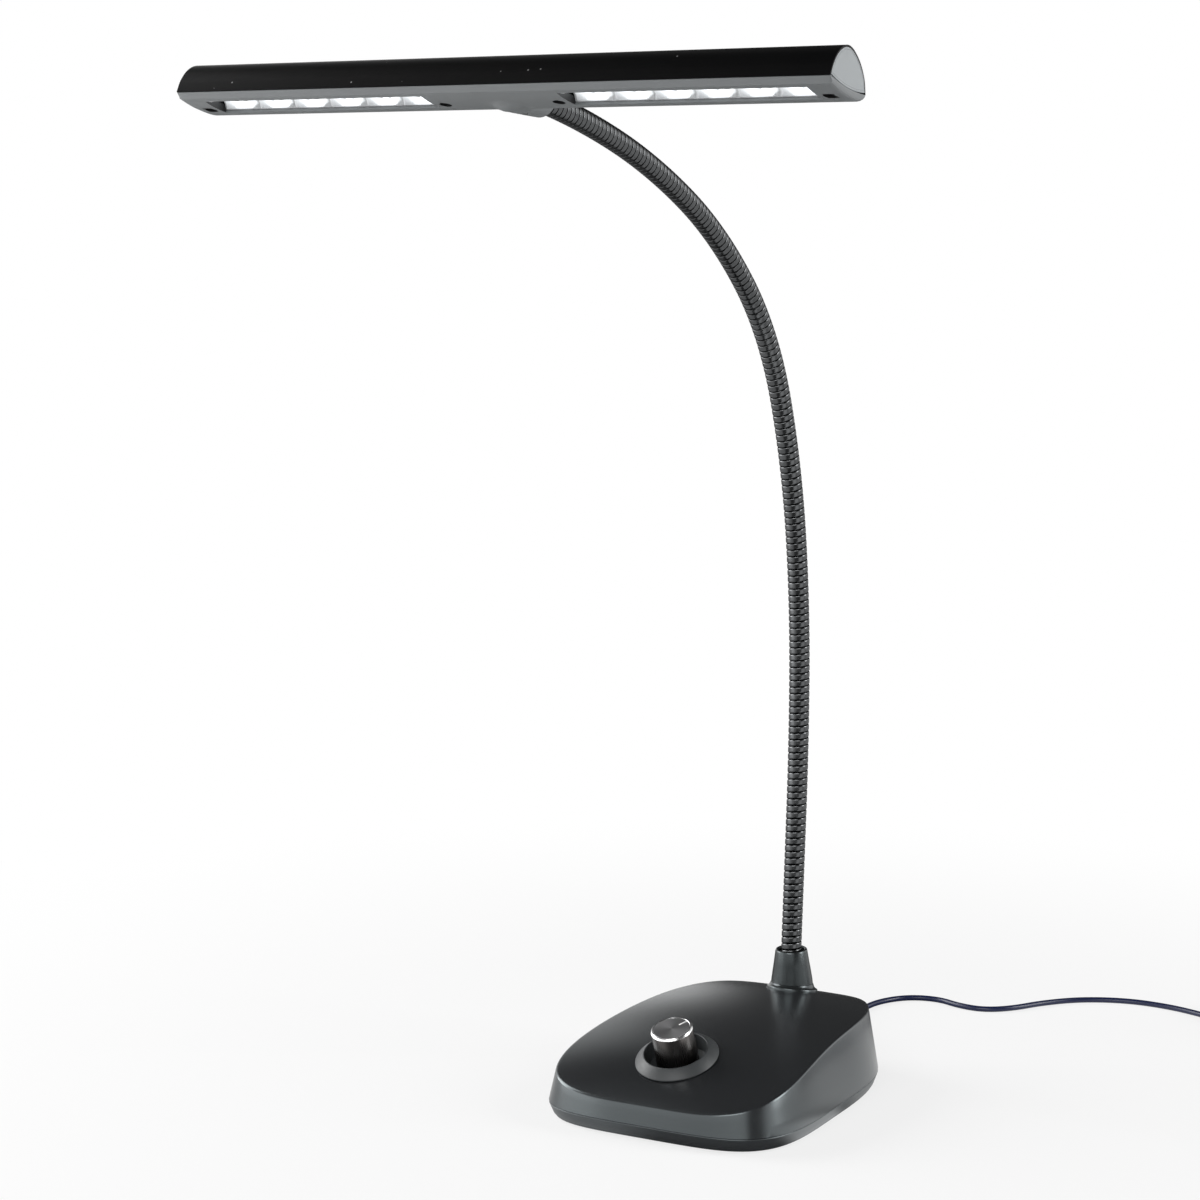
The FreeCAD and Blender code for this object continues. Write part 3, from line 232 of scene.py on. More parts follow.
def skin(name, rings, finish, place=UNMOVED, loop=False, ends=False, angle=32.0):
    """A closed piece over rings of points, set by a matrix, both in millimetres.

    A ring of one point is a pole.  Loop joins the last ring to the first; ends
    fills both of them.
    """
    points = [point for ring in rings for point in ring]
    starts = [sum(len(ring) for ring in rings[:number]) for number in range(len(rings))]
    pairs = list(zip(range(len(rings)), range(1, len(rings))))
    if loop:
        pairs.append((len(rings) - 1, 0))
    faces = []
    for low, high in pairs:
        count = max(len(rings[low]), len(rings[high]))
        for step in range(count):
            after = (step + 1) % count
            corners = [starts[low] + step % len(rings[low]), starts[low] + after % len(rings[low]),
                       starts[high] + after % len(rings[high]), starts[high] + step % len(rings[high])]
            faces.append(list(dict.fromkeys(corners)))
    if ends:
        faces += [list(range(starts[1])), list(range(starts[-1], len(points)))]
    mesh = bpy.data.meshes.new(name)
    mesh.from_pydata([place @ Vector(point) * MM for point in points], [], faces)
    shape = bmesh.new()
    shape.from_mesh(mesh)
    bmesh.ops.remove_doubles(shape, verts=shape.verts, dist=0.002 * MM)
    bmesh.ops.recalc_face_normals(shape, faces=shape.faces)
    shape.to_mesh(mesh)
    shape.free()
    return smooth(link(name, mesh, finish), angle)


def circle(radius, height=0.0, segments=96):
    """A level ring of points, or its middle where it has no radius."""
    if radius == 0:
        return [(0.0, 0.0, height)]
    turns = [2 * math.pi * step / segments for step in range(segments)]
    return [(radius * math.cos(turn), radius * math.sin(turn), height) for turn in turns]


def lathe(name, profile, finish, place=UNMOVED, loop=False, segments=96):
    """A turned piece from (radius, height) points."""
    return skin(name, [circle(radius, height, segments) for radius, height in profile], finish, place, loop)


def extruded(name, outlines, stops, finish, place=UNMOVED):
    """A bar along X through closed outlines of one count of points, one for each stop."""
    rings = [[(x, y, z) for y, z in outline] for outline, x in zip(outlines, stops)]
    return skin(name, rings, finish, place, ends=True)


def settle(thing, angle=32.0):
    """Make the modifiers' result the piece's own mesh."""
    graph = bpy.context.evaluated_depsgraph_get()
    graph.update()
    mesh = bpy.data.meshes.new_from_object(thing.evaluated_get(graph))
    mesh.name = thing.name
    thing.modifiers.clear()
    thing.data = mesh
    return smooth(thing, angle)


def soften(thing, width):
    """Take off a piece's crisp edges."""
    bevel = thing.modifiers.new("edges", "BEVEL")
    bevel.width = width * MM
    bevel.segments = 1
    bevel.limit_method = "ANGLE"
    bevel.angle_limit = math.radians(40.0)
    return settle(thing)


def cut(thing, *tools):
    """Cut holes with other shapes, which are used up."""
    for tool in tools:
        hole = thing.modifiers.new("hole", "BOOLEAN")
        hole.operation = "DIFFERENCE"
        hole.solver = "EXACT"
        hole.object = tool
    settle(thing)
    for tool in tools:
        bpy.data.objects.remove(tool)
    return thing


def rod(radius, low, high, x=0.0, y=0.0, place=UNMOVED):
    """A plain round bar, for cutting holes."""
    return lathe("tool", [(0, low), (radius, low), (radius, high), (0, high)], None,
                 place @ Matrix.Translation((x, y, 0.0)), segments=48)


def mark(thing, name, place, rule, faces=False):
    """Give a piece's points or faces a number, by a rule on their place in its own frame."""
    values = thing.data.attributes.new(name, "FLOAT", "FACE" if faces else "POINT").data
    back = place.inverted()
    for item, value in zip(thing.data.polygons if faces else thing.data.vertices, values):
        value.value = rule(back @ ((item.center if faces else item.co) / MM))


def about(axis, degrees):
    return Matrix.Rotation(math.radians(degrees), 4, axis)


def setting(tilt, point):
    """Turn about X, then move."""
    return Matrix.Translation(point) @ about("X", tilt)


def stand_for(thing, body, slot, *nodes):
    """Tie a finished piece to its body and hide the nodes that it replaces; the slot is not used."""
    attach(thing, body)
    if nodes:
        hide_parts(*nodes)
    return thing


def spline(points, per_span):
    """A smooth line through points, as a list of points."""
    line = []
    ends = [points[0]] + list(points) + [points[-1]]
    for number in range(len(points) - 1):
        a, b, c, d = (Vector(ends[number + step]) for step in range(4))
        for step in range(per_span):
            t = step / per_span
            line.append(tuple(0.5 * (2 * b + (c - a) * t + (2 * a - 5 * b + 4 * c - d) * t * t
                                     + (3 * b - a - 3 * c + d) * t ** 3)))
    return line + [tuple(points[-1])]


# ---- geometry trees --------------------------------------------------------

class Recipe(Tree):
    """A geometry node tree with named inputs."""

    def __init__(self, name, **sizes):
        group = bpy.data.node_groups.new(name, "GeometryNodeTree")
        group.is_modifier = True
        super().__init__(group)
        kinds = {"geometry": "NodeSocketGeometry", "object": "NodeSocketObject",
                 "material": "NodeSocketMaterial", "number": "NodeSocketFloat"}
        group.interface.new_socket(name="Geometry", in_out="OUTPUT", socket_type=kinds["geometry"])
        group.interface.new_socket(name="Geometry", in_out="INPUT", socket_type=kinds["geometry"])
        for key, kind in sizes.items():
            group.interface.new_socket(name=key, in_out="INPUT", socket_type=kinds[kind])
        entry = group.nodes.new("NodeGroupInput")
        self.given = {socket.name: Number(self, socket) for socket in entry.outputs if socket.name}

    def finish(self, geometry):
        """End the tree: real geometry, one material."""
        solid = self.add("GeometryNodeRealizeInstances", {}, (geometry,))
        painted = self.add("GeometryNodeSetMaterial", {}, {
            "Geometry": solid, "Material": self.given["Finish"]})
        end = self.tree.nodes.new("NodeGroupOutput")
        self.feed(end.inputs[0], painted)
        return self

    def make(self, thing, finish, angle=32.0, **values):
        """Run the tree on an object and keep its result as a plain mesh."""
        modifier = thing.modifiers.new("recipe", "NODES")
        modifier.node_group = self.tree
        values["Finish"] = finish.material
        for item in self.tree.interface.items_tree:
            if item.in_out == "INPUT" and item.name in values:
                modifier[item.identifier] = values[item.name]
        settle(thing, angle)
        paint(thing.data, finish)
        return thing


def set_out_recipe():
    """Copies of one unit on every point of the host."""
    recipe = Recipe("set_out", Unit="object", Weld="number", Finish="material")
    given = recipe.given
    unit = recipe.add("GeometryNodeObjectInfo", {}, {"Object": given["Unit"]}, output=-1)
    copies = recipe.add("GeometryNodeInstanceOnPoints", {}, {"Points": given["Geometry"], "Instance": unit})
    solid = recipe.add("GeometryNodeRealizeInstances", {}, (copies,))
    welded = recipe.add("GeometryNodeMergeByDistance", {}, {"Geometry": solid, "Distance": given["Weld"]})
    return recipe.finish(welded)


SET_OUT = set_out_recipe()


def set_out(name, unit, places, finish, weld=0.0, angle=32.0):
    """One piece from copies of a unit, which is used up, at places in millimetres."""
    mesh = bpy.data.meshes.new(name)
    mesh.from_pydata([Vector(place) * MM for place in places], [], [])
    host = link(name, mesh, finish)
    SET_OUT.make(host, finish, angle, Unit=unit, Weld=weld * MM)
    bpy.data.objects.remove(unit)
    return host


def gooseneck_recipe():
    """A stretch of wound tube along the host's line, with a helical groove."""
    recipe = Recipe("gooseneck", Start="number", End="number", Radius="number", Pitch="number",
                    Groove="number", Row="number", Finish="material")
    given = recipe.given
    line = recipe.add("GeometryNodeMeshToCurve", {}, (given["Geometry"],))
    whole = recipe.add("GeometryNodeCurveLength", {}, (line,))
    trim = recipe.add("GeometryNodeTrimCurve", {"mode": "FACTOR"}, {
        "Curve": line, "Start": given["Start"] / whole, "End": given["End"] / whole})
    kept = recipe.add("GeometryNodeResampleCurve", {"mode": "LENGTH"}, {
        "Curve": trim, "Length": given["Row"]})
    along = recipe.add("GeometryNodeSplineParameter", output=1) + given["Start"]
    captured = []
    for kind, value in (("FLOAT", along), ("VECTOR", recipe.add("GeometryNodeInputPosition")),
                        ("VECTOR", recipe.add("GeometryNodeInputTangent"))):
        node = recipe.tree.nodes.new("GeometryNodeCaptureAttribute")
        node.capture_items.new(kind, "kept")
        recipe.feed(node.inputs[0], kept)
        recipe.feed(node.inputs[1], value)
        kept, value = (Number(recipe, node.outputs[number]) for number in (0, 1))
        captured.append(value)
    along, middle, tangent = captured
    around = recipe.add("GeometryNodeCurvePrimitiveCircle", {}, {
        "Resolution": 36, "Radius": given["Radius"]})
    tube = recipe.add("GeometryNodeCurveToMesh", {}, {
        "Curve": kept, "Profile Curve": around, "Fill Caps": True})

    def vectors(operation, *values, output=0):
        return recipe.add("ShaderNodeVectorMath", {"operation": operation}, values, output)

    offset = vectors("SUBTRACT", recipe.add("GeometryNodeInputPosition"), middle)
    inward = vectors("CROSS_PRODUCT", tangent, (1.0, 0.0, 0.0))
    turn = recipe.add("ShaderNodeMath", {"operation": "ARCTAN2"}, (
        vectors("DOT_PRODUCT", offset, (1.0, 0.0, 0.0), output=1),
        vectors("DOT_PRODUCT", offset, inward, output=1)))
    phase = (along / given["Pitch"] + turn * (0.5 / math.pi)).fraction()
    groove = (phase * 2.0 - 1.0).size() ** 8.0
    on_wall = vectors("LENGTH", offset, output=1) > given["Radius"] * 0.5
    inset = groove * given["Groove"] * on_wall
    share = 1.0 - inset / given["Radius"]
    scaled = recipe.add("ShaderNodeVectorMath", {"operation": "SCALE"}, {0: offset, "Scale": share})
    moved = recipe.add("GeometryNodeSetPosition", {}, {
        "Geometry": tube, "Position": vectors("ADD", middle, scaled)})
    marked = recipe.add("GeometryNodeStoreNamedAttribute", {"data_type": "FLOAT", "domain": "POINT"}, {
        "Geometry": moved, "Name": "groove", "Value": groove})
    return recipe.finish(marked)


# ---- finishes --------------------------------------------------------------

SHELL_BLACK = (0.012, 0.0125, 0.0135)

COOL = (0.86, 0.97, 1.0)
housing_black = moulded("housing_black", shade(SHELL_BLACK, 1.5), 0.24, grain=1400.0, relief=0.00002,
                        specular_ior_level=1.0, specular_tint=COOL)
pan_black = moulded("pan_black", shade(SHELL_BLACK, 2.2), 0.42, grain=1400.0, relief=0.00002,
                    specular_ior_level=1.0, specular_tint=COOL)
ring_satin = moulded("ring_satin", (0.04, 0.044, 0.046), 0.45, grain=1600.0, relief=0.00002)
socket_satin = moulded("socket_satin", (0.014, 0.0155, 0.016), 0.24, grain=1800.0, relief=0.00001,
                       specular_ior_level=0.7, specular_tint=COOL)
rubber_pad = moulded("rubber_pad", (0.02, 0.02, 0.02), 0.8, grain=700.0, relief=0.0001)
soft_black = moulded("soft_black", (0.012, 0.012, 0.013), 0.5)
cap_grey = moulded("cap_grey", (0.3, 0.32, 0.33), 0.4, grain=2200.0, relief=0.00002, mottle=0.05)
dimmer_case = moulded("dimmer_case", (0.03, 0.06, 0.16), 0.45)
light_board = moulded("light_board", (0.75, 0.76, 0.74), 0.5, mottle=0.04)
driver_green = moulded("driver_green", (0.02, 0.14, 0.06), 0.4, grain=1200.0)
part_dark = moulded("part_dark", (0.03, 0.03, 0.035), 0.4)
pointer_white = moulded("pointer_white", (0.95, 0.95, 0.94), 0.45, mottle=0.03)
light_yellow = moulded("light_yellow", (0.85, 0.75, 0.3), 0.4, mottle=0.05)
ballast_iron = moulded("ballast_iron", (0.07, 0.07, 0.072), 0.55, grain=500.0, relief=0.0002, metallic=1.0)
steel = metal("steel", (0.5, 0.5, 0.5), 0.3)
pin_metal = metal("pin_metal", (0.75, 0.72, 0.62), 0.25, scratch=(60.0, 900.0, 900.0))
heat_aluminium = metal("heat_aluminium", (0.72, 0.73, 0.75), 0.38, scratch=(60.0, 900.0, 900.0))


def make_cover_black():
    """Smooth black cover with a few grains of dust."""
    finish = moulded("cover_black", (0.002, 0.002, 0.0022), 0.38, grain=1800.0, relief=0.00001,
                     specular_ior_level=0.1)
    where = finish.place()
    grain = finish.add("ShaderNodeTexVoronoi", {"feature": "F1"}, {"Vector": where, "Scale": 160.0})
    rare = finish.noise(45.0, 1.0, where)
    speck = (0.07 - grain).step(0.0, 0.02) * (rare > 0.54)
    finish.tint(speck, (0.002, 0.002, 0.0022), (0.25, 0.25, 0.25))
    return finish


def make_tray_grey():
    """Grey underside, with painted shade: black in the screw recesses, nearly black on the windows' end walls.
    """
    tone = (0.17, 0.18, 0.185)
    finish = moulded("tray_grey", tone, 0.42, grain=1500.0, relief=0.00002, mottle=0.05)
    slow = finish.noise(22.0, 3.0)
    grey = finish.blend(slow, shade(tone, 0.95), shade(tone, 1.05))
    # painted shade: the face mark blends the grey to black in the recesses and on the windows' end walls
    finish.tint(finish.named("recess"), grey, (0.002, 0.002, 0.002))
    return finish


def make_neck_black():
    """Black plated winding, bright on the ribs, with painted shade: a near-black sheet over the groove."""
    finish = Finish("neck_black", (0.1, 0.103, 0.106), 0.25, metallic=1.0)
    patch = finish.noise(260.0, 3.0)
    finish.tint(patch, (0.07, 0.073, 0.075), (0.12, 0.124, 0.127))
    finish.put("Roughness", 0.18 + patch * 0.1)
    finish.relief(patch, 0.00001)
    # painted shade: a near-black diffuse shader laid over the groove
    painted_groove_shade = finish.add("ShaderNodeBsdfDiffuse", {}, {"Color": (0.001, 0.001, 0.001)})
    finish.cover_with(painted_groove_shade, finish.named("groove").step(0.1, 0.45))
    return finish


def make_knob_metal():
    """Dark plated knob with a polished bevel."""
    finish = Finish("knob_metal", (0.06, 0.055, 0.052), 0.25, metallic=1.0)
    polish = finish.named("polish")
    lines = finish.lines((1500.0, 1500.0, 25.0), 3.0, CONTROL)
    finish.tint(polish, (0.13, 0.122, 0.118), (0.9, 0.9, 0.9))
    finish.put("Roughness", 0.2 + lines * 0.16 - polish * 0.06)
    finish.relief(lines * (1.0 - polish), 0.00001)
    return finish


def make_disc_metal():
    """Disc turned on a lathe: fine rings about its middle, and a painted highlight fanning across it along one
    fixed direction.
    """
    finish = Finish("disc_metal", (0.4, 0.4, 0.41), 0.4, metallic=1.0)
    x, y, _ = finish.parts(finish.place(CONTROL))
    radius = (x * x + y * y).root()
    rings = finish.add("ShaderNodeTexNoise", {"noise_dimensions": "1D"}, {
        "W": radius, "Scale": 5200.0, "Detail": 2.0})
    # painted highlight: lighter in a fan along one fixed direction across the disc
    painted_fan_highlight = ((x * 0.857 - y * 0.515) / (radius + 0.00001)).size() ** 3.0
    dull = finish.blend(rings, (0.22, 0.22, 0.225), (0.34, 0.34, 0.345))
    finish.tint(painted_fan_highlight, dull, (0.55, 0.55, 0.56))
    finish.put("Roughness", 0.36 + rings * 0.14)
    finish.relief(rings, 0.00003)
    return finish


def make_cup_white():
    """White reflector with painted light: its cups glow as if lit by the LEDs."""
    finish = Finish("cup_white", (0.8, 0.81, 0.82), 0.3, emission_strength=1.0)
    glow = finish.named("glow")
    soft = finish.noise(300.0, 2.0)
    # painted light: emission by the mark stands in for the LEDs' light on the cups
    finish.put("Emission Color", finish.blend(glow, (0.0, 0.0, 0.0), (0.9, 0.93, 0.95)))
    finish.put("Roughness", 0.22 + soft * 0.15)
    finish.tint(soft, (0.5, 0.51, 0.52), (0.6, 0.61, 0.62))
    return finish


def make_lens_clear():
    finish = Finish("lens_clear", (0.96, 0.98, 1.0), 0.04, transmission_weight=1.0)
    finish.put("Roughness", 0.02 + finish.noise(400.0) * 0.04)
    return finish


def make_sheath(name, colour):
    """Smooth cord sheath with faint marks along it."""
    finish = Finish(name, colour, 0.3)
    marks = finish.noise(500.0, 3.0)
    finish.tint(marks, shade(colour, 0.8), shade(colour, 1.3))
    finish.put("Roughness", 0.24 + marks * 0.16)
    finish.relief(marks, 0.00002)
    return finish


# ---- the base --------------------------------------------------------------

BASE_WIDTH, BASE_DEPTH, BASE_TAPER = 125.4, 166.5, 0.094
FRONT_POWER, REAR_POWER = 4.27, 3.33
SEAM_HEIGHT, SEAM_GAP, SIDE_DRAFT, REAR_SHARE = 7.4, 0.1, 10.6, 0.5
PAN_INSET, PAN_BOTTOM, PAN_ROUND = 2.4, 0.7, 1.2
WALL, EDGE_ROUND = 2.4, 1.0
AROUND = 160
CORD_EXIT = Vector((0, BASE_DEPTH / 2, SEAM_HEIGHT))
CASE_SCREWS = ((49.4, -63.45), (36.4, 65.45))
BALLAST_SCREWS = (-15.95, 48.05)


def top_height(x, y):
    """Height of the domed top over a place in plan."""
    u = y / (BASE_DEPTH / 2)
    v = x / (BASE_WIDTH / 2)
    return 35.0 + 6.6 * u - 9.8 * u ** 2 + 3.0 * u ** 3 + 5.0 * (1 - v * v) * (1 - u ** 6)


def on_top(point, drop=0.0):
    """The place of the domed top over a point, or a drop below it."""
    return Vector((point.x, point.y, top_height(point.x, point.y) - drop))


def on_outline(step, inset, height):
    """A point of the base's plan outline at a height, drawn in by an inset."""
    turn = 2 * math.pi * step / AROUND
    across, along = math.cos(turn), math.sin(turn)
    power = REAR_POWER if along > 0 else FRONT_POWER
    reach = (abs(across) ** power + abs(along) ** power) ** (-1 / power)
    across, along = across * reach, along * reach
    draft = max(0.0, height - SEAM_HEIGHT) * math.tan(math.radians(SIDE_DRAFT))
    x = (BASE_WIDTH / 2 - inset - draft) * across * (1 - BASE_TAPER * along)
    y = (BASE_DEPTH / 2 - inset - (REAR_SHARE * draft if along > 0 else draft)) * along
    return Vector((x, y, height))


def outline_ring(inset, height):
    return [on_outline(step, inset, height) for step in range(AROUND)]


def rim_point(step, inset, drop):
    """Where the side meets the top, both moved inwards."""
    height = 40.0
    for _ in range(12):
        point = on_outline(step, inset, height)
        height = top_height(point.x, point.y) - drop
    return point


def cover_profile(step):
    """One line from the seam up the outside, over the rim and in to the middle of the top."""
    corner = rim_point(step, 0.0, 0.0)
    foot = on_outline(step, 0.0, SEAM_HEIGHT)
    inner = on_top(corner - Vector((corner.x, corner.y, 0)).normalized() * EDGE_ROUND)
    outer = corner + (foot - corner).normalized() * EDGE_ROUND
    side = [foot.lerp(outer, share) for share in (0, 0.03, 0.35, 0.7, 1)]
    arc = [outer.lerp(corner, t).lerp(corner.lerp(inner, t), t) for t in (0.2, 0.4, 0.6, 0.8, 1.0)]
    shares = (0.985, 0.95, 0.88, 0.78, 0.68, 0.58, 0.48, 0.38, 0.28, 0.18, 0.09)
    return side + arc + [on_top(inner * share) for share in shares]


def cord_hole():
    """Bar for the hole in which the cord's relief stands, half in each shell."""
    return rod(3.0, -6.0, 4.0, place=setting(-90.0, CORD_EXIT))


def make_housing():
    """Upper and lower shell of the base, each with its wall."""
    outside = [list(ring) for ring in zip(*[cover_profile(step) for step in range(AROUND)])]
    under_rim = [rim_point(step, WALL, WALL) for step in range(AROUND)]
    middle = Vector((0, 0, 0))
    rings = [[on_top(middle, WALL)]]
    rings += [[on_top(point * share, WALL) for point in under_rim] for share in (0.3, 0.6, 0.85, 1.0)]
    rings.append(outline_ring(WALL, SEAM_HEIGHT + SEAM_GAP))
    rings.append([Vector((p.x * 0.9975, p.y * 0.9975, SEAM_HEIGHT + SEAM_GAP)) for p in outside[0]])
    rings += outside[1:] + [[on_top(middle)]]
    cover = skin("housing_cover", rings, housing_black)
    cut(cover, rod(18.9, -24, 24, place=CONTROL), rod(6.2, -24, 24, place=SOCKET_SEAT), cord_hole())
    stand_for(cover, "base", "housing", "base_cover")

    rings = [[(0, 0, PAN_BOTTOM)], outline_ring(PAN_INSET + 12, PAN_BOTTOM),
             outline_ring(PAN_INSET + 1.4, PAN_BOTTOM)]
    for turn in (math.radians(30), math.radians(60), math.radians(90)):
        rings.append(outline_ring(PAN_INSET + PAN_ROUND * (1 - math.sin(turn)),
                                  PAN_BOTTOM + PAN_ROUND * (1 - math.cos(turn))))
    for height in (2.5, 4.5, 6.8, 7.0):
        rings.append(outline_ring(PAN_INSET * (SEAM_HEIGHT - height) / (SEAM_HEIGHT - PAN_BOTTOM), height))
    rings += [outline_ring(0.25, SEAM_HEIGHT - SEAM_GAP), outline_ring(WALL, SEAM_HEIGHT - SEAM_GAP),
              outline_ring(PAN_INSET + WALL, PAN_BOTTOM + WALL), [(0, 0, PAN_BOTTOM + WALL)]]
    pan = skin("housing_pan", rings, pan_black)
    holes = [rod(3.0, 0.0, 2.5, side * x, y) for x, y in CASE_SCREWS for side in (-1, 1)]
    holes += [rod(3.8, 0.0, 1.9, 0.0, y) for y in BALLAST_SCREWS]
    cut(pan, cord_hole(), *holes)
    stand_for(pan, "base", "housing", "base_pan")


def make_pad():
    """Rubber pad with a rounded edge, under the base."""
    inset = PAN_INSET + 5.0
    rings = [[(0, 0, 0)], outline_ring(inset + 0.5, 0.0), outline_ring(inset + 0.15, 0.15),
             outline_ring(inset, 0.5), outline_ring(inset, PAN_BOTTOM), [(0, 0, PAN_BOTTOM)]]
    stand_for(skin("foot_pad", rings, rubber_pad), "base", "pad_rubber", "base_pad")


def cross_screw(radius, height, place):
    """Low round screw head with a cross recess, its top at height 0."""
    head = lathe("unit", [(0, -height), (radius, -height), (radius, -0.35), (radius - 0.35, 0), (0, 0)],
                 None, place, segments=28)
    to_metres, to_millimetres = Matrix.Diagonal((MM, MM, MM, 1)), Matrix.Diagonal((1 / MM, 1 / MM, 1 / MM, 1))
    size = Matrix.Diagonal((radius * 1.2 * MM, 0.45 * MM, 1.0 * MM, 1.0))
    arms = []
    for turn in (0, 90):
        mesh = bpy.data.meshes.new("arm")
        shape = bmesh.new()
        bmesh.ops.create_cube(shape, size=1.0)
        shape.transform(to_metres @ place @ to_millimetres @ about("Z", turn) @ size)
        shape.to_mesh(mesh)
        shape.free()
        arms.append(put_in("arm", mesh))
    return cut(head, *arms)


# ---- the dimmer ------------------------------------------------------------

CONTROL_POINT = Vector((0, -49.65, top_height(0, -49.65)))
CONTROL = setting(20.0, CONTROL_POINT)
SOCKET_SLOPE = math.degrees(math.atan((top_height(0, 68.6) - top_height(0, 66.6)) / 2))
SOCKET_POINT = Vector((0, 67.6, top_height(0, 67.6)))
SOCKET_SEAT = setting(SOCKET_SLOPE, SOCKET_POINT)

KNOB_RADIUS, KNOB_TOP, KNOB_FOOT, KNOB_BEVEL = 10.0, 16.5, -2.0, 0.8
LINE_START, LINE_END, LINE_WIDTH, LINE_TURN = 4.2, 8.3, 0.7, -31.0


def make_dimmer():
    """Raised cone with its deep well, and the knob that stands in it."""
    ring = lathe("dimmer_ring", [
        (4.4, -5.2), (18.7, -5.2), (18.7, 0.3), (19.7, 0.3), (19.9, 0.45), (19.9, 0.75), (19.78, 0.98),
        (15.75, 4.22), (15.5, 4.4), (15.25, 4.45), (15.0, 4.4), (14.85, 4.25), (14.78, 3.9), (14.25, -3.1),
        (14.1, -3.45), (13.8, -3.6), (4.4, -3.6)], ring_satin, CONTROL, loop=True)
    stand_for(ring, "base", "bezel_metal", "dimmer_bezel")

    edge = KNOB_RADIUS - KNOB_BEVEL
    bevel_foot = KNOB_TOP - KNOB_BEVEL
    knob = lathe("knob", [
        (0, 3.9), (7.4, 3.9), (7.4, KNOB_FOOT), (KNOB_RADIUS - 0.2, KNOB_FOOT),
        (KNOB_RADIUS, KNOB_FOOT + 0.2), (KNOB_RADIUS, 4.0), (KNOB_RADIUS, 9.0),
        (KNOB_RADIUS, bevel_foot - 0.1), (KNOB_RADIUS - 0.05, bevel_foot + 0.05), (edge + 0.1, KNOB_TOP - 0.1),
        (edge, KNOB_TOP), (edge - 0.35, KNOB_TOP - 0.02), (edge - 0.5, KNOB_TOP - 0.15), (edge - 0.5, 15.7),
        (0, 15.7)],
        knob_metal, CONTROL)
    mark(knob, "polish", CONTROL, lambda spot: 1.0 if spot.z > bevel_foot - 0.05 else 0.0)
    grub_hole = Matrix.Translation((0, 2, 8.25)) @ about("X", -90)
    cut(knob, rod(1.6, 0.0, 12.0, place=CONTROL @ grub_hole))
    stand_for(knob, "knob", "knob_metal", "knob_body")

    disc = lathe("knob_face", [(0, 15.75), (edge - 0.55, 15.75), (edge - 0.55, 16.25), (edge - 0.7, 16.4),
                               (0, 16.4)], disc_metal, CONTROL)
    stand_for(disc, "knob", "knob_face", "knob_disc")
    outline = [(LINE_START, 16.2), (LINE_END, 16.2), (LINE_END, 16.44), (LINE_END - 0.1, 16.5),
               (LINE_START + 0.1, 16.5), (LINE_START, 16.44)]
    line = extruded("knob_line", [outline, outline], (-LINE_WIDTH / 2, LINE_WIDTH / 2), pointer_white,
                    CONTROL @ about("Z", LINE_TURN))
    stand_for(line, "knob", "pointer_white", "knob_pointer")


# ---- the gooseneck and its socket ------------------------------------------

NECK_FOOT = Vector((0, 66.4, 59.6))
NECK_LEAN, SECTION_LENGTH, NECK_RADIUS = -3.6, 69.2, 5.0
SECTION_TURNS = (0.0, 3.8, 8.0, 12.3, 26.8, 16.3, 9.5, 7.0)
STEPS = 24
FOOT_DEPTH, HEAD_DEPTH = 15.0, 11.0
NECK_BODIES = ["base", "neck_1", "neck_2", "neck_3", "neck_4", "neck_5", "neck_6", "head"]


def heading(angle):
    return Vector((0, -math.sin(math.radians(angle)), math.cos(math.radians(angle))))


def neck_line():
    """Points of the neck's middle, from inside the socket to inside the boss, and its end."""
    step = SECTION_LENGTH / STEPS
    points = [NECK_FOOT - heading(NECK_LEAN) * FOOT_DEPTH, NECK_FOOT.copy()]
    angle = NECK_LEAN
    for turn in SECTION_TURNS:
        for _ in range(STEPS):
            points.append(points[-1] + heading(angle + turn / STEPS / 2) * step)
            angle += turn / STEPS
    end = points[-1]
    points.append(end + heading(angle) * HEAD_DEPTH)
    return points, end, angle


NECK_POINTS, NECK_END, NECK_END_ANGLE = neck_line()


def make_gooseneck():
    """The neck in pieces: one held in the socket, seven bent ones between, one held in the head."""
    recipe = gooseneck_recipe()
    count = len(SECTION_TURNS)
    ends = [-FOOT_DEPTH] + [SECTION_LENGTH / 2 + SECTION_LENGTH * number for number in range(count)]
    ends.append(SECTION_LENGTH * count + HEAD_DEPTH)
    names = ["neck_low"] + ["neck_bend_" + str(number) for number in range(1, count)] + ["neck_high"]
    for number, (name, start, end) in enumerate(zip(names, ends, ends[1:])):
        mesh = bpy.data.meshes.new(name)
        edges = [(step, step + 1) for step in range(len(NECK_POINTS) - 1)]
        mesh.from_pydata([point * MM for point in NECK_POINTS], edges, [])
        host = link(name, mesh, neck_black)
        recipe.make(host, neck_black, 60.0, Start=(start + FOOT_DEPTH) * MM, End=(end + FOOT_DEPTH) * MM,
                    Radius=(NECK_RADIUS + 0.05) * MM, Pitch=3.3 * MM, Groove=0.7 * MM, Row=0.25 * MM)
        section = min(number, count - 1)
        if 0 < number < count:
            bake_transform(host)
        else:
            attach(host, NECK_BODIES[section])
        if number != count - 1:
            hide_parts("neck_section_" + str(section))


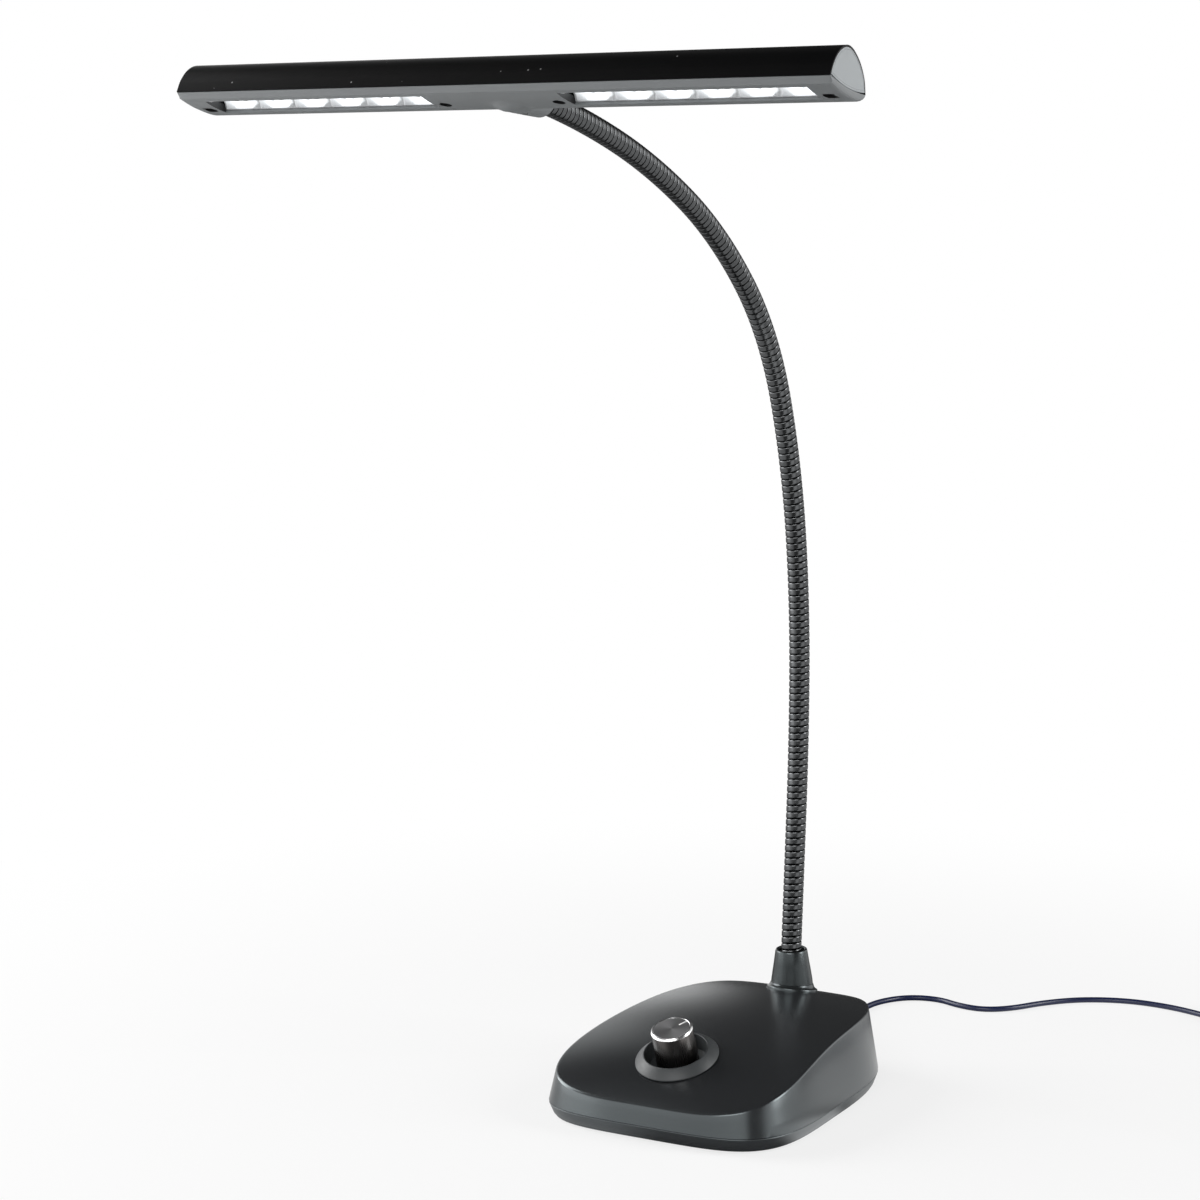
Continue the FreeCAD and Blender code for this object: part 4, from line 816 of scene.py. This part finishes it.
def make_socket():
    """Conical socket on a flared collar, open at the top round the neck."""
    lean = math.degrees(math.atan2(SOCKET_POINT.y - NECK_FOOT.y, NECK_FOOT.z - SOCKET_POINT.z))
    length = (NECK_FOOT - SOCKET_POINT).length
    profile = [
        (6.1, -12.0), (6.1, -1.1), (12.5, -1.1), (12.7, -0.9), (12.7, 0.4), (12.55, 0.65), (12.1, 0.85),
        (11.6, 1.2), (11.15, 1.8), (10.85, 2.5), (10.65, 2.95), (10.45, 3.1), (10.3, 4.6), (9.65, 9.0),
        (8.9, 13.5), (8.0, length - 1.0), (7.88, length - 0.6), (7.7, length - 0.2), (7.4, length),
        (6.95, length), (6.65, length - 0.2), (6.5, length - 0.6), (6.4, length - 4.0), (5.1, length - 4.1),
        (5.1, length - 14.0), (4.0, length - 14.1), (2.2, -12.0)]
    rings = []
    for radius, height in profile:
        share = min(1.0, max(0.0, (height - 1.0) / 5.0))
        tilt = SOCKET_SLOPE + (lean - SOCKET_SLOPE) * share * share * (3 - 2 * share)
        middle = SOCKET_POINT.lerp(NECK_FOOT, max(0.0, height) / length)
        spot = setting(tilt, middle) @ Matrix.Translation((0, 0, min(0.0, height)))
        rings.append([spot @ Vector(point) for point in circle(radius)])
    socket = skin("neck_socket_cone", rings, socket_satin, loop=True)
    stand_for(socket, "base", "socket_coating", "neck_socket")


# ---- the light head --------------------------------------------------------

HEAD = setting(-12.3, Vector((0, -198.1, 471.8)))
HALF, CAP_THICK, CAP_EDGE, CAP_SAG, COVER_WALL = 156.3, 2.6, 0.7, 1.9, 1.5
COVER_ARCH = (
    (-15.4, 0.0), (-14.6, 3.0), (-13.6, 5.7), (-11.4, 9.2), (-9.0, 11.7), (-6.0, 13.7),
    (-2.6, 14.8), (1.3, 14.5), (5.2, 13.0), (8.6, 11.0), (12.0, 7.9), (14.4, 4.5), (16.0, 0.0))
ARCH = spline(COVER_ARCH, 5)
WINDOWS = (32.6, 144.3)
WINDOW_FRONT, WINDOW_REAR = -10.3, 4.6
END_ROUND = 1.6
CELLS = 6
SCREW_PLACES, SCREW_Y = (-149.0, -27.4, 27.4, 149.0), 0.5
RECESS_RADIUS, TRAY_WALL = 2.7, 1.3
CAP_MIDDLE_Y, CAP_MIDDLE_Z, CAP_HALF_WIDTH, CAP_HALF_HEIGHT = 0.3, 6.45, 15.7, 8.4
BOSS_FOOT, BOSS_LENGTH, BOSS_RIM, BOSS_ROOT = -8.2, 25.5, 7.2, 9.9
BOSS = setting(NECK_END_ANGLE, NECK_END)
CLAMP_PLACE = 6.0


def inner_arch(inset):
    return [(y * (1 - inset / 16.0), z * (1 - inset / 14.8)) for y, z in ARCH]


def make_cover():
    """Black arched cover, notched at the back for the boss."""
    inner = HALF - CAP_THICK
    near = [0, 10, 20, 40, 80, inner - 0.02, inner - 0.01, HALF]
    stops = [-x for x in reversed(near[1:])] + near
    outlines = []
    for x in stops:
        thick = CAP_EDGE if abs(x) > inner - 0.015 else COVER_WALL
        outlines.append(list(ARCH) + [(y, max(z, 0.0)) for y, z in reversed(inner_arch(thick))])
    cover = extruded("cover", outlines, stops, cover_black, HEAD)
    notch = lathe("tool", [(0, -9.0), (7.5, -9.0), (BOSS_ROOT + 0.25, 15.0), (0, 15.0)], None, BOSS,
                  segments=64)
    cut(cover, notch)
    stand_for(cover, "head", "cover_black", "head_cover")


BELLY = spline((
    (-15.0, -0.25), (-13.25, -2.35), (-13.05, -2.75), (-12.6, -2.85), (-9.2, -3.4), (-4.0, -4.0), (2.0, -4.2),
    (8.0, -4.1), (12.5, -3.4), (15.0, -2.0), (15.9, -0.3)), 4)


def boss_depth(x, y):
    """How low the boss reaches at a place, or None where it isn't."""
    towards = BOSS.inverted() @ HEAD
    for step in range(60):
        z = -12.0 + step * 0.25
        p = towards @ Vector((x, y, z))
        along = p.z - BOSS_FOOT
        if along > BOSS_LENGTH:
            inside = (p - Vector((0, 0, BOSS_LENGTH + BOSS_FOOT))).length < BOSS_ROOT
        else:
            inside = math.hypot(p.x, p.y) < BOSS_RIM + (BOSS_ROOT - BOSS_RIM) * along / BOSS_LENGTH
        if inside:
            return z
    return None


def soft_low(a, b, width):
    """The lower of two heights, with a rounded inside corner."""
    gap = max(0.0, width - abs(a - b)) / width
    return min(a, b) - gap * gap * width / 4


def belly(y):
    """Height of the underside's middle stretch."""
    for (y0, z0), (y1, z1) in zip(BELLY, BELLY[1:]):
        if y0 <= y <= y1:
            return z0 + (z1 - z0) * (y - y0) / (y1 - y0)
    return BELLY[0][1] if y < BELLY[0][0] else BELLY[-1][1]


def underside(x, y):
    """Height of the underside: a belly that draws in at the ends and swells at the boss."""
    past = max(0.0, abs(x) - HALF + END_ROUND) / END_ROUND
    low = belly(y) * (1 - 0.3 * (1 - math.sqrt(1 - past * past)))
    swell = boss_depth(x, y) if abs(x) < 14 and y > -10 else None
    return low if swell is None else soft_low(low, swell, 1.6)


def in_window(x, y, margin=0.0):
    """Whether a place is in one of the windows, or within a margin of it."""
    return (WINDOWS[0] - margin < abs(x) < WINDOWS[1] + margin
            and WINDOW_FRONT - margin < y < WINDOW_REAR + margin)


def make_tray():
    """Grey underside: belly, two windows with walls, screw recesses and the swelling of the boss."""
    outer = [WINDOWS[0] + step * (WINDOWS[1] - WINDOWS[0]) / 24 for step in range(25)]
    outer += [147.0, 152.0, HALF - END_ROUND, HALF - 0.8, HALF - 0.25, HALF]
    xs = [-x for x in reversed(outer)] + [-30 + step * 1.5 for step in range(41)] + outer
    ys = sorted(set([round(y, 3) for y, z in BELLY] + [WINDOW_FRONT, WINDOW_REAR, 0.0, -7.0]))

    points = [(x, y, underside(x, y)) for x in xs for y in ys]
    rows = len(ys)
    faces = []
    for i in range(len(xs) - 1):
        for j in range(rows - 1):
            if not in_window((xs[i] + xs[i + 1]) / 2, (ys[j] + ys[j + 1]) / 2):
                faces.append((i * rows + j, i * rows + j + 1, (i + 1) * rows + j + 1, (i + 1) * rows + j))
    mesh = bpy.data.meshes.new("tray")
    mesh.from_pydata([HEAD @ Vector(point) * MM for point in points], [], faces)
    shape = bmesh.new()
    shape.from_mesh(mesh)
    loose = [vertex for vertex in shape.verts if not vertex.link_faces]
    bmesh.ops.delete(shape, geom=loose, context="VERTS")
    back = HEAD.inverted()
    rim, ends = [], []
    for edge in shape.edges:
        if edge.is_boundary:
            middle = back @ ((edge.verts[0].co + edge.verts[1].co) / (2 * MM))
            if abs(middle.x) > HALF - 0.01:
                ends.append(edge)
            if in_window(middle.x, middle.y, 0.1):
                rim.append(edge)

    def under_cap(spot):
        return max(spot.z, (CAP_EDGE - CAP_SAG) * (1 - ((spot.y - CAP_MIDDLE_Y) / CAP_HALF_WIDTH) ** 2))

    for edges, top in ((rim, lambda spot: -1.0), (ends, under_cap)):
        walls = bmesh.ops.extrude_edge_only(shape, edges=edges)["geom"]
        for vertex in [item for item in walls if isinstance(item, bmesh.types.BMVert)]:
            spot = back @ (vertex.co / MM)
            vertex.co = HEAD @ Vector((spot.x, spot.y, top(spot))) * MM
    bmesh.ops.recalc_face_normals(shape, faces=shape.faces)
    if sum((face.normal.z * face.calc_area() for face in shape.faces), 0.0) > 0:
        bmesh.ops.reverse_faces(shape, faces=shape.faces)
    shape.to_mesh(mesh)
    shape.free()
    tray = link("tray", mesh, tray_grey)
    wall = tray.modifiers.new("wall", "SOLIDIFY")
    wall.thickness = TRAY_WALL * MM
    wall.offset = -1.0
    wall.use_even_offset = False
    settle(tray)
    cut(tray, *[rod(RECESS_RADIUS, -8.0, -2.8, x, SCREW_Y, HEAD) for x in SCREW_PLACES])
    soften(tray, 0.12)

    def darkness(spot):
        """Painted shade: 1 in the screw recesses, a little less on the windows' end walls."""
        if min(math.hypot(spot.x - x, spot.y - SCREW_Y) for x in SCREW_PLACES) < RECESS_RADIUS + 0.05:
            return 1.0
        end_wall = min(abs(abs(spot.x) - x) for x in WINDOWS) < 0.1 and WINDOW_FRONT < spot.y < WINDOW_REAR
        return 0.92 if end_wall else 0.0

    # painted shade, stored on the tray's faces
    mark(tray, "recess", HEAD, darkness, faces=True)
    stand_for(tray, "head", "tray_grey", "head_tray")

    boss = lathe("neck_boss", [
        (5.15, BOSS_FOOT), (6.8, BOSS_FOOT), (7.1, -8.1), (7.2, -7.8), (BOSS_RIM + 0.9, 0.5),
        (BOSS_ROOT - 0.6, 13.0), (BOSS_ROOT - 1.6, 16.5), (5.0, 19.0), (0, 19.5), (0, 11.2), (5.15, 11.2)],
        tray_grey, BOSS)
    clamp = BOSS @ Matrix.Translation((0, 0, CLAMP_PLACE)) @ about("X", 90)
    cut(boss, rod(2.7, BOSS_RIM, BOSS_ROOT + 3, place=clamp))
    stand_for(boss, "head", "tray_grey")


def cap_section():
    """The arch, closed below by a shallow bow."""
    (rear, _), (front, _) = ARCH[-1], ARCH[0]
    shares = [step / 12 for step in range(1, 12)]
    return list(ARCH) + [(rear + (front - rear) * t, -CAP_SAG * 4 * t * (1 - t)) for t in shares]


def make_caps():
    """Light end caps that stand in the cover's edge, with a fine step."""
    section = cap_section()
    y0, z0 = CAP_MIDDLE_Y, CAP_MIDDLE_Z
    for side, name in ((-1, "left"), (1, "right")):
        rings = [[(side * (HALF - CAP_THICK), y0, z0)]]
        for back, inset in ((CAP_THICK, 0.8), (0.2, 0.8), (0.05, 0.88), (0, 1.0), (0, 1.5), (0.12, 1.55),
                            (0.12, 1.7), (0.02, 1.8), (0.02, 4.0)):
            scale_y, scale_z = 1 - inset / CAP_HALF_WIDTH, 1 - inset / CAP_HALF_HEIGHT
            rings.append([(side * (HALF - back), y0 + (y - y0) * scale_y, z0 + (z - z0) * scale_z)
                          for y, z in section])
        rings.append([(side * (HALF - 0.02), y0, z0)])
        stand_for(skin("cap_" + name, rings, cap_grey, HEAD), "head", "cap_grey", "end_cap_" + name)


def make_reflectors():
    """Rows of six cups with rounded mouths and low webs between them, each with painted light from its throat.
    """
    low, high, web, throat = -3.0, 5.6, 1.0, 3.4
    pitch = (WINDOWS[1] - WINDOWS[0]) / CELLS
    half_x, half_y = pitch / 2, (WINDOW_REAR - WINDOW_FRONT - 0.2) / 2
    middle_y = (WINDOW_FRONT + WINDOW_REAR) / 2
    across = 12

    def rim_height(x, y):
        """Height of the lower edge over a place in the cell's square."""
        return low + (web - low) * max(0.0, min(1.0, (abs(x) - 0.8) / 0.2)) ** 2 * (1 - y ** 4)

    for side, name in ((-1, "left"), (1, "right")):
        corners = [(-1, -1), (1, -1), (1, 1), (-1, 1), (-1, -1)]
        border = []
        for (x0, y0), (x1, y1) in zip(corners, corners[1:]):
            border += [(x0 + (x1 - x0) * step / across, y0 + (y1 - y0) * step / across)
                       for step in range(across)]
        rings = [[(x * half_x, y * half_y, high) for x, y in border],
                 [(x * half_x, y * half_y, rim_height(x, y)) for x, y in border]]
        for share in (0, 0.02, 0.07, 0.14, 0.3, 0.5, 0.75, 1.0):
            ring = []
            for x, y in border:
                turn = math.atan2(y, x)
                reach = (abs(math.cos(turn)) ** 3 + abs(math.sin(turn)) ** 3) ** (-1 / 3)
                mouth_x = (half_x - 0.25) * reach * math.cos(turn)
                mouth_y = (half_y - 0.35) * reach * math.sin(turn)
                bend, foot = share ** 1.7, rim_height(x, y)
                ring.append((mouth_x + (throat * x - mouth_x) * bend, mouth_y + (throat * y - mouth_y) * bend,
                             foot + (high - foot) * share))
            rings.append(ring)
        unit = skin("unit", rings, None, HEAD @ Matrix.Translation((0, middle_y, 0)), loop=True)

        def glow(spot):
            """Painted light in a cup: none on its rim, more towards its throat, with painted shade on its left
            and right walls.
            """
            x, y = spot.x / half_x, (spot.y - middle_y) / half_y
            if max(abs(x), abs(y)) >= 0.999:
                return 0.0
            # painted shade: the light rises more slowly on the cup's left and right walls
            reach = 0.6 + 10.0 * max(0.0, -x - 0.3) + 4.0 * max(0.0, x - 0.6)
            return min(1.0, max(0.0, (spot.z - rim_height(x, y)) / reach)) ** 1.5

        mark(unit, "glow", HEAD, glow)
        places = [(side * (WINDOWS[0] + pitch * (cell + 0.5)), 0.0, 0.0) for cell in range(CELLS)]
        row = set_out("reflector_row_" + name, unit, places, cup_white, weld=0.01, angle=50.0)
        stand_for(row, "head", "reflector_white", "reflector_" + name)


def make_head_screws():
    """Screws at the bottom of the four recesses."""
    facing_down = HEAD @ Matrix.Translation((0, SCREW_Y, -2.9)) @ about("X", 180)
    unit = cross_screw(2.3, 1.0, facing_down)
    row = set_out("tray_screws", unit, [(x, 0, 0) for x in SCREW_PLACES], part_dark)
    stand_for(row, "head", "steel", "head_screws")


# ---- the cord --------------------------------------------------------------

CORD_DIAMETER = 3.0
CORD_ROUTE = [
    (0.0, 80.85, 7.4), (0.0, 107.0, 7.4), (-1.2, 123.0, 5.2), (-3.8, 139.0, 2.4), (-8.5, 157.0, 1.5),
    (-14.0, 177.0, 1.5), (-12.5, 196.0, 1.5), (-3.0, 212.0, 1.5), (13.0, 216.5, 1.5), (28.0, 209.5, 1.5),
    (43.0, 208.5, 1.5), (55.0, 219.0, 1.5), (64.5, 238.0, 1.5), (80.0, 256.0, 1.5), (103.0, 266.0, 1.5),
    (127.0, 265.0, 1.5), (148.0, 258.0, 1.5)]
COIL_CENTRE = (177.0, 270.0)
COIL_START = -115.0
COIL_TURNS = (
    (21.5, 1.5), (18.5, 1.5), (15.5, 1.5), (12.5, 1.5), (12.5, 4.5), (15.5, 4.5), (18.5, 4.5), (21.5, 4.5),
    (21.5, 7.5), (18.5, 7.5), (15.5, 7.5), (15.5, 10.5), (18.5, 10.5), (21.5, 10.5))
POINTS_PER_TURN = 14
ADAPTER_FACE, ADAPTER_LENGTH, ADAPTER_MIDDLE = 218.0, 50, 13.0
ADAPTER_WIDTH, ADAPTER_HEIGHT, ADAPTER_CORNER = 34.0, 26.0, 4.0
PIN_SPACING, PIN_LENGTH = 12.7, 17.0
TAIL = (248.5, 10.5)     # y and z of the cord's end


def coil_points():
    """Turns beside and on each other, from the floor up."""
    points = []
    turns = len(COIL_TURNS) - 1 + (-90.0 - COIL_START) / 360
    steps = round(turns * POINTS_PER_TURN)
    for step in range(steps + 1):
        done = turns * step / steps
        number = min(int(done), len(COIL_TURNS) - 2)
        share = min(1.0, done - number)
        (radius, height), (next_radius, next_height) = COIL_TURNS[number], COIL_TURNS[number + 1]
        bulge = 0.0
        if radius == next_radius:
            bulge = (1.2 if radius > 17 else -1.2) * math.sin(math.pi * share)
        reach = radius + (next_radius - radius) * share + bulge
        reach /= math.cos(math.pi / POINTS_PER_TURN) ** 2
        turn = math.radians(COIL_START + 360 * done)
        points.append((COIL_CENTRE[0] + reach * math.cos(turn), COIL_CENTRE[1] + reach * math.sin(turn),
                       height + (next_height - height) * share))
    return points


def make_cord():
    """Supply cord: out of the base, along the table, into its coil and the adapter."""
    curve = bpy.data.curves.new("cord", "CURVE")
    curve.dimensions = "3D"
    curve.bevel_depth = CORD_DIAMETER / 2 * MM
    curve.bevel_resolution = 4
    curve.resolution_u = 8
    curve.use_fill_caps = True
    route = CORD_ROUTE + coil_points() + [(192.0, *TAIL), (204.0, *TAIL), (ADAPTER_FACE + 12.0, *TAIL)]
    line = curve.splines.new("NURBS")
    line.points.add(len(route) - 1)
    for point, place in zip(line.points, route):
        point.co = (place[0] * MM, place[1] * MM, place[2] * MM, 1.0)
    line.order_u = 3
    line.use_endpoint_u = True
    curve.materials.append(cord_navy.material)
    cord = put_in("cord", curve)
    stand_for(cord, "base", "cord_sheath", "supply_cord", "cord_coil")
    return cord


def turned_bar(name, profile, origin, axis, finish):
    """A turned piece along a level axis."""
    turn = Vector((0, 0, 1)).rotation_difference(Vector(axis)).to_matrix().to_4x4()
    return lathe(name, profile, finish, Matrix.Translation(origin) @ turn, loop=True, segments=48)


def make_adapter():
    """Plug-in adapter with ribs, its cord relief and its two pins; and the relief at the base."""
    ribs = [(1.55, -3.8), (3.8, -3.8), (3.8, -2.4), (3.0, -2.4), (3.0, 1.5)]
    for number in range(5):
        start = 2.6 + number * 2.6
        radius = 3.0 - 0.8 * start / 16
        ribs += [(radius, start), (radius - 0.45, start + 0.25), (radius - 0.45, start + 0.85),
                 (radius - 0.05, start + 1.1)]
    ribs += [(2.2, 15.7), (2.05, 16.0), (1.55, 16.0)]
    gland = turned_bar("gland", ribs, CORD_EXIT, (0, 1, 0), soft_black)
    stand_for(gland, "base", "black_plastic", "cord_gland")

    profile = [(1.55, 0.0), (2.1, 0.0), (2.2, 0.2)]
    for number in range(4):
        start = 1.5 + number * 2.4
        radius = 2.2 + 1.4 * start / 12
        profile += [(radius, start), (radius - 0.4, start + 0.25), (radius - 0.4, start + 0.8),
                    (radius + 0.05, start + 1.0)]
    profile += [(3.6, 11.8), (3.6, 12.2), (1.55, 12.2)]
    relief = turned_bar("adapter_sleeve", profile, (ADAPTER_FACE - 12.0, *TAIL), (1, 0, 0), soft_black)
    stand_for(relief, "base", "black_plastic", "adapter_relief")

    def box_ring(x, inset):
        points = []
        flat_y, flat_z = (size / 2 - inset - ADAPTER_CORNER for size in (ADAPTER_WIDTH, ADAPTER_HEIGHT))
        for quarter, (sy, sz) in enumerate(((1, 1), (-1, 1), (-1, -1), (1, -1))):
            for step in range(7):
                turn = math.pi / 2 * (quarter + step / 6)
                points.append((x, TAIL[0] + sy * flat_y + ADAPTER_CORNER * math.cos(turn),
                               ADAPTER_MIDDLE + sz * flat_z + ADAPTER_CORNER * math.sin(turn)))
        return points

    rings = [[(ADAPTER_FACE, TAIL[0], ADAPTER_MIDDLE)]]
    for x, inset in ((0, 2.5), (0.3, 1.6), (1.0, 0.8), (2.2, 0.2), (3.5, 0.0), (29.6, 0.0), (30.0, 0.35),
                     (30.6, 0.35), (31.0, 0.0), (46.5, 0.0), (48.5, 0.4), (49.6, 1.2), (50, 2.2)):
        rings.append(box_ring(ADAPTER_FACE + x, inset))
    end = ADAPTER_FACE + ADAPTER_LENGTH
    rings.append([(end, TAIL[0], ADAPTER_MIDDLE)])
    body = skin("adapter_case", rings, soft_black)
    stand_for(body, "base", "black_plastic", "adapter_body")

    blade = [[(end - 1.0, 0.0, ADAPTER_MIDDLE)]]
    for x, inset in ((-1.0, 0.0), (PIN_LENGTH - 1.5, 0.0), (PIN_LENGTH, 0.5)):
        blade.append([(end + x, y * (0.75 - inset * 0.6), ADAPTER_MIDDLE + z * (3.2 - inset))
                      for y, z in ((-1, -1), (1, -1), (1, 1), (-1, 1))])
    blade.append([(end + PIN_LENGTH, 0.0, ADAPTER_MIDDLE)])
    places = [(0, TAIL[0] + side * PIN_SPACING / 2, 0) for side in (-1, 1)]
    pins = set_out("adapter_blades", skin("unit", blade, None), places, pin_metal)
    stand_for(pins, "base", "pins_metal", "adapter_pins")
    return [relief, body, pins]


# ---- carried-over nodes ----------------------------------------------------

def dress_nodes():
    """Finishes for the solids that stay as they are."""
    groups = (
        (ballast_iron, "ballast_plate"), (driver_green, "driver_board"), (part_dark, "driver_parts"),
        (dimmer_case, "dimmer_body"), (lens_clear, "lens_left lens_right"),
        (light_board, "led_board_left led_board_right"), (light_yellow, "leds_left leds_right"),
        (heat_aluminium, "heat_strip_left heat_strip_right"),
        (steel, "case_screws ballast_screws board_spacers board_screws dimmer_nut dimmer_shaft "
                "knob_grub_screw socket_washer socket_nut neck_ferrule neck_clamp_screw"))
    for finish, names in groups:
        for name in names.split():
            paint(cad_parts[name].data, finish)


# ---- studio ----------------------------------------------------------------

CAMERA_TURN = math.radians(30.775)
CAMERA_TILT = math.radians(90 - 7.206)
CAMERA_SPOT = (0.672688, -1.249805, 0.421418)
FOCAL_PIXELS, SENSOR = 3022.08, 36.0
FLOOR = 6.0
WHITE = (1.0, 1.0, 1.0, 1.0)


def make_camera():
    camera = put_in("camera", bpy.data.cameras.new("camera"))
    camera.data.sensor_width = SENSOR
    camera.data.lens = FOCAL_PIXELS / 1200 * SENSOR
    camera.location = CAMERA_SPOT
    camera.rotation_euler = (CAMERA_TILT, 0.0, CAMERA_TURN)
    bpy.context.scene.camera = camera


def round_camera(x, y):
    """How far a level direction points to the camera's right, and whether it points to the camera."""
    across = x * math.cos(CAMERA_TURN) + y * math.sin(CAMERA_TURN)
    towards = x * math.sin(CAMERA_TURN) - y * math.cos(CAMERA_TURN)
    return across, towards.step(0.0, 0.6)


def make_floor():
    """Pale floor that keeps the soft shadow near the lamp and fades to the background."""
    mesh = bpy.data.meshes.new("floor")
    corners = [(-FLOOR, -FLOOR, 0), (FLOOR, -FLOOR, 0), (FLOOR, FLOOR, 0), (-FLOOR, FLOOR, 0)]
    mesh.from_pydata(corners, [], [(0, 1, 2, 3)])
    pale = Finish("floor_pale", (0.88, 0.88, 0.88), 0.9, specular_ior_level=0.1)
    x, y, _ = pale.parts(pale.place())
    reach = (x * x + y * y).root()
    across, front = round_camera(x / reach, y / reach)
    seen, glossy = pale.rays("Camera", "Glossy")
    left = (across * -1.0).step(0.4, 0.8) * 0.8
    right = across.step(0.25, 0.45) * (1.0 - across.step(0.8, 0.97)) * front * 1.5
    behind = across.step(0.5, 0.8) * (1.0 - front) * 0.9
    strength = seen + glossy * (left + right + behind + 0.03)
    screen = pale.add("ShaderNodeEmission", {}, {"Color": WHITE, "Strength": strength})
    pale.cover_with(screen, seen * (0.75 + reach.step(0.2, 0.7) * 0.25) + glossy * 0.85)
    link("floor", mesh, pale)


def make_world():
    """White screens at the left and the right, dark between them and above, as in a studio."""
    world = bpy.data.worlds.new("studio")
    world.use_nodes = True
    bpy.context.scene.world = world
    sky = Tree(world.node_tree)
    sky.tree.nodes.clear()
    direction = sky.add("ShaderNodeTexCoord", output=0)
    x, y, z = sky.parts(direction)
    across, front = round_camera(x, y)
    left = (front * 0.28 - across).step(0.02, 0.16) * (1.0 - z.step(0.3, 0.66)) * (0.8 + front * 0.2)
    right = (across - front * 0.1).step(0.5, 0.8) * (1.0 - z.step(0.3, 0.8))
    low = (1.0 - z.step(0.1, 0.36)) * (1.0 - front) * (0.05 - across).step(0.0, 0.06)
    seen, glossy, through = sky.rays("Camera", "Glossy", "Transmission")
    soft = (1.0 - z.step(0.12, 0.42)) * 0.55 + 0.12
    shiny = (left + right - left * right) * 1.3 + 0.05
    shiny = shiny + low * (1.4 - shiny)
    strength = soft + (glossy * (shiny - soft))
    strength = strength + (seen + through - seen * through) * (1.0 - strength)
    light = sky.add("ShaderNodeBackground", {}, {"Color": WHITE, "Strength": strength})
    end = sky.tree.nodes.new("ShaderNodeOutputWorld")
    sky.feed(end.inputs["Surface"], light)


def make_lights():
    """Soft boxes at the left, the right and in front."""
    for name, spot, target, size, power in (
            ("soft_left", (-1.5, -0.2, 0.9), (0.0, 0.0, 0.25), (0.9, 1.3), 22.0),
            ("soft_low", (-0.7, -0.5, 0.15), (-0.16, -0.2, 0.47), (0.7, 0.7), 2.2),
            ("soft_right", (1.5, 0.5, 0.8), (0.0, 0.0, 0.25), (0.6, 1.2), 16.0),
            ("soft_front", (0.4, -1.9, 1.2), (0.0, 0.0, 0.2), (1.4, 0.8), 16.0)):
        lamp = bpy.data.lights.new(name, "AREA")
        lamp.shape = "RECTANGLE"
        lamp.size, lamp.size_y = size
        lamp.energy = power
        thing = put_in(name, lamp)
        thing.location = spot
        thing.rotation_euler = (Vector(target) - Vector(spot)).to_track_quat("-Z", "Y").to_euler()


# ---- putting it together ---------------------------------------------------

bpy.context.scene.view_settings.view_transform = "Standard"
cover_black = make_cover_black()
neck_black = make_neck_black()
tray_grey = make_tray_grey()
knob_metal = make_knob_metal()
disc_metal = make_disc_metal()
cup_white = make_cup_white()
lens_clear = make_lens_clear()
cord_navy = make_sheath("cord_navy", (0.008, 0.013, 0.05))

make_camera()
make_floor()
make_world()
make_lights()
cord = make_cord()
ends = make_adapter()

make_housing()
make_pad()
make_dimmer()
make_socket()
make_gooseneck()
make_cover()
make_tray()
make_caps()
make_reflectors()
make_head_screws()
dress_nodes()
